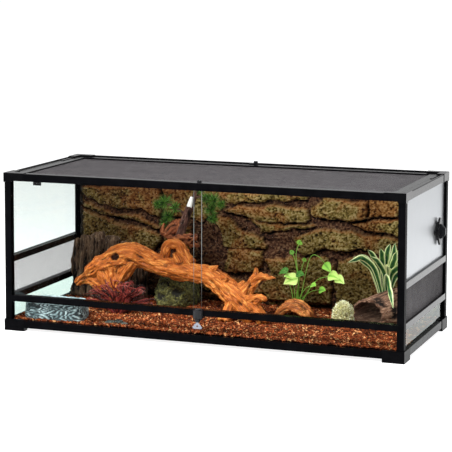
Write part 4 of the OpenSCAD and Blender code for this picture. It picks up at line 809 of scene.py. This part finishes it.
# Painted shade in the hollows and a painted highlight on the crests, both by cav.
c = n.mix(n.ramp(n.attr("cav"), (0.08, 1.0), (0.46, 0.0)), c, (0.01, 0.018, 0.022))
c = n.mix(n.ramp(n.attr("cav"), (0.5, 0.0), (0.76, 0.95)), c, (0.8, 0.92, 0.94))
n.color(c)
n.rough(n.noise(60.0, 4.0), (0.3, 0.35), (0.7, 0.65))
n.bump(n.noise(420.0, 5.0, 0.6), 0.4, 0.0012)
V, F, cv = dish_skin()
piece("dish_skin", V, F, n.m, attrs={"cav": cv}, replaces=["water_dish"])

# ---- Cork tube ----
tube_mat = wooden("cork_tube", (0.03, 0.014, 0.009), (0.2, 0.1, 0.062), (0.46, 0.28, 0.18), 0.36, (1.3, 1.0),
                  (0.7, 0.95))


def tube_skin():
    """The tube's outside and then its inside, back again, as one sheet closed both ways."""
    line = smooth([[-175, -28, 74, 42], [-149, -16, 78, 47], [-117, 8, 84, 53], [-83, 36, 91, 58],
                   [-59, 54, 93, 57]], 16)
    C = line[:, :3] + (WALL_R, 0, 0)
    d = unit(C[-1] - C[0])
    u = unit(np.cross((0, 0, 1), d))
    v = np.cross(d, u)
    n = 120
    ca, sa = np.cos(around(n)), np.sin(around(n))
    ring = u * ca[:, None] + v * sa[:, None]
    rag = 7 * np.abs(fbm(np.stack([ca * 2.2, sa * 2.2, ca * 0], -1), 4))
    sheets = []
    for way, inset in ((1, 1.5), (-1, 8)):
        R = line[::way, 3:] - inset
        t = np.linspace(0, 1, len(C))[::way, None]
        slant = 58 * (0.5 - 0.5 * ca) * (1 - t)
        torn = rag * (limit(1 - t * 8) - limit(t * 8 - 7))
        s = t * 140 + 0 * ca
        q = np.stack([R * ca / 13, R * sa / 13, s / 34 + way], -1)
        h = 2.6 * (ridged(q, 3) - 0.8) + 1.1 * fbm(q * 3, 3)
        h = np.minimum(h, 1.5) if way > 0 else np.abs(h) * 0.5
        P = C[::way, None] + ring * (R + h * way)[..., None] + d * (slant + torn)[..., None]
        # The inside sheet gets a fixed low cav, which paints shade over the whole inside of the tube.
        sheets.append((P, R * ca, R * sa, s, h if way > 0 else h * 0 - 1.5))
    P, ga, gb, gs, h = (np.concatenate(x) for x in zip(*sheets))
    P = P.reshape(-1, 3)
    P[:, 2] = np.maximum(P[:, 2], GROUND + 0.3)
    cav = limit(0.5 + h.ravel() / 7)
    # The first rings of the outside, at the mouth, take no painted shade.
    cav[:3 * n] = 1.0
    return P, skin(n, 2 * len(C), True, True), {"ga": ga, "gb": gb, "gs": gs, "cav": cav}


V, F, at = tube_skin()
piece("tube_skin", V, F[:, ::-1], tube_mat, attrs=at, replaces=["cork_tube_hide"])

# ---- Low wooden hide ----
HIDE_X = 196
low_mat = wooden("low_hide_wood", (0.08, 0.02, 0.007), (0.46, 0.13, 0.03), (0.8, 0.36, 0.1), 0.3)
arches = []
for y, w, h, r in ((14, 44, 40, 9), (28, 46, 45, 11), (44, 45, 46, 13), (60, 38, 42, 13), (74, 22, 34, 12)):
    arches.append([[HIDE_X + w * x, y + inner, 33 + h * z if z else 36, r] for x, z, inner in
                   ((-1, 0, 0), (-0.85, 0.55, 0), (-0.3, 0.93, 2), (0.3, 0.93, 2), (0.85, 0.5, 0),
                    (1, 0, 0))])
arches.append([[190, 82, 40, 12], [196, 78, 60, 12], [200, 70, 72, 9]])
limb_piece("low_hide_skin", arches, low_mat, 2.4, 4.4, "low_wood_hide", floor=GROUND + 0.4,
           grain=(14.0, 24.0))


# ---- Leaves ----
def blades(rows, across, k, fold, ref=(0, 1, 0.2)):
    """Curved leaves through rows of [x, y, z, half width], and each point's place across and along."""
    parts, us, ts = [], [], []
    for L in rows:
        L, own = aimed(L, ref)
        Q = smooth(L, k)
        C = Q[:, :3]
        w = np.maximum(Q[:, 3], 0.25)
        T, U, W = frames(C, own)
        s = np.linspace(-1, 1, across)
        P = (C[:, None] + U[:, None] * (w[:, None] * s)[..., None]
             - W[:, None] * (fold * w[:, None] * (1 - s * s))[..., None])
        parts.append((P.reshape(-1, 3), [skin(across, len(C), False)]))
        us.append(np.tile(s, len(C)))
        ts.append(np.repeat(np.linspace(0, 1, len(C)), across))
    return *join(parts), np.concatenate(us), np.concatenate(ts)


def leaf_mat(name, stops, rough, sheen=0.0, stray=0.35):
    """Colours by the attribute fac, with stray spots of the last one."""
    n = Nodes(name, IOR=1.32, Sheen_Weight=sheen)
    c = n.ramp(n.attr("fac"), *stops)
    c = n.mix(n.ramp(n.noise(120.0, 4.0, 0.6), (0.4, 0.0), (0.75, stray)), c, stops[-1][1])
    n.color(c)
    n.rough(n.noise(72.0, 3.0), (0.3, rough - 0.1), (0.7, rough + 0.15))
    n.bump(n.noise(480.0, 3.0), 0.3, 0.0006)
    return n.m


# red plant
crown, SPIKES = (-318.0, -66.0), 96
rows = []
for i in range(SPIKES):
    q = -1.5 + 3.0 * (i + 0.5) / SPIKES + rng.normal(0, 0.14)
    deep = rng.uniform(-34, 30)
    tall = 22 + 80 * math.cos(q) * rng.uniform(0.55, 1.02) + rng.uniform(0, 14)
    out = 114 * rng.uniform(0.55, 1.04) * math.sin(q)
    w = rng.uniform(0.9, 2.5)
    bend = rng.normal(0, 12, 3)
    x, y = crown[0] + 12 * math.sin(q), crown[1] + rng.uniform(-9, 9)
    rows.append([[x, y, 33.5, w * 0.7],
                 [x + 0.3 * out + bend[0] * 0.5, y + deep * 0.35, 33 + 0.55 * tall, w],
                 [x + 0.66 * out - bend[0], y + deep * 0.8, 33 + 0.9 * tall + bend[1] * 0.5, w * 0.9],
                 [x + 0.88 * out, y + deep, 33 + tall * 0.98, w * 0.45],
                 [x + out + bend[2] * 0.4, y + deep, 33 + max(2.0, tall * 0.97 - 5), 0.3]])
V, F, u, t = blades(rows, 3, 4, 0.5, (0, 1, 0))
lv = np.repeat(rng.uniform(0, 1, len(rows)), len(u) // len(rows))
red_mat = leaf_mat("red_leaves", ((0.0, (0.012, 0.003, 0.003)), (0.35, (0.13, 0.013, 0.01)),
                                  (0.66, (0.38, 0.06, 0.045)),
                                  (1.0, (0.85, 0.5, 0.44))), rough=0.35, stray=0.0)
fac = limit(0.5 * lv ** 1.8 + 0.5 * u ** 2 * t * (lv > 0.35))
piece("red_leaf_skin", V, F, red_mat, attrs={"fac": fac}, replaces=["red_plant"])

# striped plant
root = (WALL_R - 133, 122.0)
# Each leaf: the side of the root that it leaves from, and three points on its way.
swords = [
    (250, [424, 84, 190], [396, 56, 226], [358, 32, 214]), (228, [418, 92, 182], [392, 74, 214],
        [366, 60, 226]),
    (215, [412, 100, 186], [404, 82, 216], [386, 62, 236]),
    (180, [424, 118, 190], [414, 102, 226], [402, 84, 246]),
    (150, [436, 124, 180], [438, 112, 228], [438, 96, 250]),
    (120, [444, 128, 190], [452, 120, 236], [462, 112, 262]),
    (40, [462, 118, 190], [474, 108, 232], [480, 98, 268]), (10, [474, 112, 180], [490, 98, 226],
        [500, 88, 262]),
    (340, [476, 102, 160], [504, 88, 190], [520, 76, 194]), (300, [465, 70, 175], [492, -2, 152],
        [514, -44, 107]),
    (265, [452, 96, 170], [440, 62, 216], [424, 34, 236]), (200, [420, 112, 180], [398, 96, 206],
        [372, 84, 216]),
    (20, [470, 96, 186], [486, 72, 226], [496, 54, 250]),
    (320, [468, 96, 170], [494, 70, 200], [508, 46, 208]), (290, [462, 92, 176], [470, 60, 204],
        [484, 30, 206]),
    (90, [448, 132, 190], [450, 132, 226], [452, 132, 240]),
]
rows = []
for deg, a, b, c in swords:
    r = math.radians(deg)
    e, f = 9 * math.cos(r), 9 * math.sin(r)
    middle = (np.array(b) + c) / 2 + (0, 0, 2)
    rows.append([[root[0] + e, root[1] + f, 33.5, 3], [root[0] + 1.6 * e, root[1] + 1.6 * f, 100, 4.5],
                 [*a, 8.5], [*b, 9], [*middle, 6.5], [*c, 0.4]])
V, F, u, t = blades(rows, 9, 6, 0.35, (0, 1, 0.2))
n = Nodes("striped_leaves", Roughness=0.35, IOR=1.3)
c = n.ramp(n.attr("fac"), (0.0, (0.012, 0.06, 0.03)), (0.36, (0.03, 0.12, 0.04)), (0.54, (0.14, 0.3, 0.06)),
           (0.66, (0.76, 0.84, 0.3)), (0.8, (0.98, 1.0, 0.7)), (1.0, (0.88, 0.95, 0.4)))
c = n.mix(n.ramp(n.noise(90.0, 4.0, 0.7), (0.5, 0.0), (0.8, 0.4)), c, (0.3, 0.5, 0.1))
n.color(c)
n.bump(n.noise(500.0, 3.0), 0.3, 0.0006)
light = np.repeat(np.array([0.4 if i in (7, 11, 14) else 0.0 for i in range(len(rows))]),
                  len(u) // len(rows))
wob = light + 0.1 * vnoise(V / 9)
piece("striped_leaf_skin", V, F, n.m, attrs={"fac": limit(np.abs(u) * 0.95 + wob)},
      replaces=["variegated_plant"])

# leafy plant: stems and heart-shaped leaves
stalk = (176.0, 112.0)
stems = [
    [[174, 104, 100], [172, 90, 143]], [[184, 104, 100], [192, 91, 160]], [[166, 104, 100], [146, 96, 166]],
    [[186, 108, 120], [178, 104, 214], [190, 100, 250]], [[186, 108, 110], [176, 106, 190], [164, 106, 220]],
    [[196, 104, 100], [222, 98, 206], [250, 92, 216], [278, 84, 192]],
    [[206, 104, 90], [246, 92, 144], [290, 79, 162]],
    [[196, 106, 80], [226, 96, 108], [258, 88, 118]], [[190, 100, 84], [214, 84, 118], [236, 74, 132]],
    [[180, 104, 90], [196, 100, 170], [206, 98, 200]],
]
parts = []
for s in stems:
    P = [[stalk[0] + (s[0][0] - stalk[0]) * 0.3, stalk[1], 33.4]] + s
    V, F, C, r = tube([p + [1.3 - 0.15 * i] for i, p in enumerate(P)], 6, 6)
    parts.append((V, F))
V, F = join(parts)
green = leaf_mat("green_leaves", ((0.0, (0.015, 0.08, 0.012)), (0.4, (0.06, 0.27, 0.03)),
                                  (0.75, (0.32, 0.7, 0.08)),
                                  (1.0, (0.8, 0.98, 0.3))), rough=0.35, stray=0.15)
piece("leafy_stem_skin", V, F, green, attrs={"fac": np.full(len(V), 0.62)}, replaces=["leafy_plant"])


DROOP = 0.25
OUTLINE = (-0.62, 0.08), (-0.5, 0.5), (-0.25, 0.74), (0.1, 0.72), (0.5, 0.46), (0.85, 0.16), (1.0, 0.02)


def heart(c, d, up, size):
    """Broad leaf centred at c, pointing along d with face towards up."""
    d = unit(np.array(d))
    rows = [[*(c + d * s * size - (0, 0, DROOP * size * s * s)), w * size] for s, w in OUTLINE]
    return rows, up


# Each leaf: its middle, the ways that it and its face point, and its size.
hearts = [
    ((172, 90, 143), (-0.9, -0.4, -0.3), (0.2, -0.9, 0.6), 27),
    ((192, 91, 160), (0.9, -0.2, 0.1), (0, -0.7, 0.9), 18),
    ((146, 96, 166), (-0.9, -0.2, -0.3), (0, -0.6, 0.9), 18),
    ((190, 100, 252), (0.4, -0.3, 0.9), (0.2, -1, 0.3), 12),
    ((164, 106, 220), (-0.5, -0.1, 0.8), (0, -1, 0.3), 10), ((278, 84, 190), (0.8, -0.2, -0.7),
        (0.2, -0.8, 0.6), 19),
    ((298, 77, 164), (0.9, -0.3, -0.1), (0, -0.8, 0.7), 24),
    ((318, 76, 156), (0.9, -0.2, -0.4), (0.1, -0.8, 0.7), 20),
    ((262, 87, 118), (0.9, -0.3, 0.2), (0, -0.8, 0.7), 16), ((240, 73, 134), (0.8, -0.5, 0.1),
        (0, -0.7, 0.8), 14),
    ((206, 98, 202), (0.3, -0.2, 0.9), (0.2, -1, 0.2), 9), ((160, 92, 152), (-0.7, -0.6, 0.1),
        (0, -0.7, 0.8), 16),
]
V, F, u, t = blades([heart(*h) for h in hearts], 7, 3, 0.12)
lv = np.repeat(np.array([0.95, 0.25, 0.3, 0.6, 0.5, 0.7, 0.85, 0.9, 0.6, 0.7, 0.6, 0.8]),
               len(u) // len(hearts))
piece("leafy_leaf_skin", V, F, green, attrs={"fac": limit(lv - 0.25 * (np.abs(u) < 0.12) + 0.1 * t)})

# ---- Pine branch ----
FACE = 187.2    # plane in front of the rock that the branch's depths are measured from
pine_mat = wooden("pine_bark", (0.03, 0.012, 0.01), (0.1, 0.045, 0.032), (0.26, 0.14, 0.1), 0.35, (1.5, 1.2),
                  (0.7, 0.95))
stump_mat = wooden("stump_wood", (0.07, 0.018, 0.009), (0.27, 0.075, 0.028), (0.52, 0.19, 0.07), 0.42,
                   (1.3, 1.0), (0.6, 0.9))


def placed(L):
    return [[p[0], p[1] + FACE] + p[2:] for p in L]


stem = [
    [[-208, -72, 127, 16], [-204, -80, 168, 15], [-196, -91, 208, 15], [-187, -95, 250, 14],
     [-173, -90, 298, 12], [-163, -78, 338, 9]],
    [[-172, -88, 288, 7], [-162, -66, 332, 8], [-152, -50, 376, 7], [-134, -50, 390, 4]],
    [[-168, -82, 312, 5], [-205, -76, 330, 3.5], [-244, -72, 346, 2.5]],
    [[-204, -76, 328, 3.5], [-226, -74, 310, 2.5], [-240, -74, 290, 2]],
    [[-154, -54, 366, 5], [-122, -58, 364, 4], [-88, -62, 358, 2.5]],
    [[-122, -58, 364, 3.5], [-104, -62, 332, 2.5], [-94, -64, 300, 2]],
]
limb_piece("pine_stem_skin", [placed(L) for L in stem], pine_mat, 2.2, 1.3, "pine_branch", grain=(8.0, 40.0))
stump = [
    [[-190, -94, 238, 14], [-217, -95, 250, 11], [-240, -94, 262, 8], [-238, -92, 283, 3.5]],
    [[-188, -94, 240, 14], [-152, -93, 234, 13], [-127, -95, 229, 7]],
    [[-190, -92, 252, 12], [-204, -90, 276, 9], [-206, -88, 295, 3.5]],
    [[-200, -94, 215, 14], [-190, -98, 232, 16], [-182, -96, 250, 12]],
    [[-226, -93, 246, 15], [-210, -91, 266, 18], [-194, -90, 282, 12], [-190, -90, 298, 4]],
    [[-222, -95, 240, 16], [-192, -96, 238, 22], [-160, -95, 240, 18], [-138, -94, 250, 9],
     [-132, -94, 262, 3]],
]
limb_piece("pine_stump_skin", [placed(L) for L in stump], stump_mat, 2.2, 4.6, grain=(11.0, 22.0), fine=1.8)
V, F, C, r = tube(placed([[-163.5, -78.6, 336, 8.4], [-161, -74, 350, 7.4], [-158, -69, 367, 4.6]]), 24, 6)
cut = moulded("cut_wood", (0.75, 0.74, 0.7), (0.92, 0.91, 0.88), (0.4, 0.6), 500.0, 0.3)
piece("pine_cut_tip", V, F, cut)
# Each bunch of needles: its middle and its radius.
bunches = [
    [-244, -72, 345, 36], [-268, -72, 338, 26], [-210, -76, 330, 30], [-232, -74, 304, 30],
    [-244, -74, 286, 26],
    [-138, -50, 388, 28], [-92, -62, 357, 34], [-116, -58, 362, 28], [-100, -62, 328, 32],
    [-92, -64, 302, 26], [-66, -64, 346, 22],
]
NEEDLES = 260
parts, tones = [], []
for b in bunches:
    m = NEEDLES
    d = unit(rng.normal(0, 1, (m, 3)) + (0, 0, 0.25))
    start = (b[0], b[1] + FACE, b[2]) + d * rng.uniform(0, 0.35, (m, 1)) * b[3]
    tip = start + d * (b[3] * rng.uniform(0.5, 0.68, (m, 1))) + (0, 0, 1.5)
    side = unit(np.cross(d, (0.3, 0.2, 1)))
    up = np.cross(d, side)
    w = rng.uniform(0.5, 0.95, (m, 1))
    low, high = (up * 0.8 + side * 0.5) * w, (up * 0.8 - side * 0.5) * w
    V = np.stack([start + side * w, start + high, start - low, tip], 1)
    parts.append((V.reshape(-1, 3), [copies([[0, 1, 3], [1, 2, 3], [2, 0, 3]], 4, m)]))
    tones.append(np.repeat(rng.uniform(0, 1, m), 4))
V, F = join(parts)
needle = leaf_mat("pine_needles", ((0.0, (0.004, 0.014, 0.003)), (0.5, (0.03, 0.09, 0.012)),
                                   (1.0, (0.22, 0.48, 0.07))),
                  rough=0.5, stray=0.0)
piece("pine_needle_skin", V, F, needle, shade=False, attrs={"fac": np.concatenate(tones)})

# ---- Moss clump ----
MOSS, MOSS_W, MOSS_D, MOSS_TUFTS = (WALL_R - 235.0, 40.0), 26, 22, 1400
levels = [[33, 0.9], [46, 1.08], [64, 1.04], [80, 0.84], [91, 0.52], [95, 0.2]]
V, F, cv = dome(MOSS, MOSS_W, MOSS_D, levels, 48, 4, 0.12, 3.0, 10.0)
m = MOSS_TUFTS
a, zf = rng.uniform(0, 2 * np.pi, m), rng.uniform(0, 1, m) ** 0.8
rr = np.interp(zf, [0, 0.3, 0.6, 0.85, 1], [0.95, 1.05, 0.95, 0.65, 0.1])
base = np.stack([MOSS[0] + MOSS_W * rr * np.cos(a), MOSS[1] + MOSS_D * rr * np.sin(a), 34 + 59 * zf], -1)
d = unit(np.stack([np.cos(a) * rr, np.sin(a) * rr, 0.2 + zf * 0.9], -1) + rng.normal(0, 0.35, (m, 3)))
side = unit(np.cross(d, rng.normal(0, 1, (m, 3))))
w = rng.uniform(1.0, 2.8, (m, 1))
L = rng.uniform(5, 12, (m, 1))
Vm = np.stack([base - side * w * 0.4, base + side * w * 0.4, base + d * L * 0.6 + side * w, base + d * L,
               base + d * L * 0.6 - side * w], 1).reshape(-1, 3)
Vm[:, 2] = np.maximum(Vm[:, 2], GROUND + 0.3)
moss = leaf_mat("pale_moss", ((0.0, (0.05, 0.04, 0.01)), (0.35, (0.4, 0.36, 0.12)),
                              (0.65, (0.9, 0.86, 0.46)), (1.0, (1.0, 0.99, 0.76))), rough=0.7, sheen=0.2)
V, F = join([(V, F), (Vm, [copies([[0, 1, 2, 4]], 5, m), copies([[4, 2, 3]], 5, m)])])
# The body under the tufts is darker than the tufts and darkest in its hollows (low cv), a painted shade
# among them.
fac = np.concatenate([cv * 0.4, np.repeat(rng.uniform(0.3, 1.4, m), 5)])
piece("moss_skin", V, F, moss, shade=False, attrs={"fac": fac}, replaces=["moss_clump"])

# ---- Pebbles ----
n = Nodes("pebble", Roughness=0.5, IOR=1.5)
c = n.ramp(n.noise(60.0, 5.0, 0.65), (0.35, (0.02, 0.024, 0.02)), (0.6, (0.09, 0.1, 0.08)))
c = n.mix(n.ramp(n.cells(190.0), (0.1, 1.0), (0.28, 0.0)), c, (0.6, 0.62, 0.52))
n.color(c)
n.bump(n.noise(300.0, 4.0), 0.5, 0.001)
PEBBLES = (-288, -198, 15, 11, 10), (-264, -192, 17, 12, 13), (-242, -200, 11, 9, 8)
ROUND = (0, 0.8), (0.35, 1.0), (0.7, 0.8), (0.95, 0.4), (1, 0.1)
for i, (x, y, rx, ry, h) in enumerate(PEBBLES):
    rings = [[FLOOR - 0.1 + h * up, share] for up, share in ROUND]
    V, F, cv = dome((x, y), rx, ry, rings, 40, 5, 0.06, 0.5, 8.0)
    V[:, 2] = np.maximum(V[:, 2], FLOOR - 0.1)
    piece("pebble_%d" % i, V, F, n.m)

# ---- Floor, light ----
bpy.ops.mesh.primitive_plane_add(size=400)
floor = bpy.context.active_object
floor.name = "floor"
white = Nodes("floor_white", Base_Color=(0.5, 0.5, 0.5, 1), Roughness=0.9, IOR=1.1,
              Emission_Color=(1, 1, 1, 1), Emission_Strength=0.86)
floor.data.materials.append(white.m)


def area(name, loc, target, size, energy):
    L = bpy.data.lights.new(name, "AREA")
    L.shape = "RECTANGLE"
    L.size, L.size_y = size
    L.energy = energy
    ob = bpy.data.objects.new(name, L)
    bpy.context.scene.collection.objects.link(ob)
    ob.location = loc
    d = np.array(target, float) - np.array(loc, float)
    tilt = math.atan2(math.hypot(d[0], d[1]), -d[2])
    ob.rotation_euler = Euler((tilt, 0, math.atan2(d[1], d[0]) - math.pi / 2))


area("key", (-0.9, -2.3, 2.5), (0, 0, 0.2), (1.5, 1.0), 190)
area("top", (0.2, 0.1, 2.6), (0, 0, 0.3), (2.2, 1.5), 60)
area("right", (3.2, 0.6, 1.0), (0.5, 0.1, 0.3), (2.6, 2.4), 60)
world = bpy.data.worlds.new("World")
bpy.context.scene.world = world
world.use_nodes = True
t = world.node_tree
sky = t.nodes["Background"]
split, fade = t.nodes.new("ShaderNodeSeparateXYZ"), t.nodes.new("ShaderNodeMapRange")
for key, v in (("From Min", -0.6), ("From Max", 0.3), ("To Min", 0.1), ("To Max", 0.55)):
    fade.inputs[key].default_value = v
t.links.new(t.nodes.new("ShaderNodeTexCoord").outputs["Generated"], split.inputs[0])
t.links.new(split.outputs[1], fade.inputs["Value"])
t.links.new(fade.outputs[0], sky.inputs["Strength"])
sky.inputs["Color"].default_value = (1, 1, 1, 1)
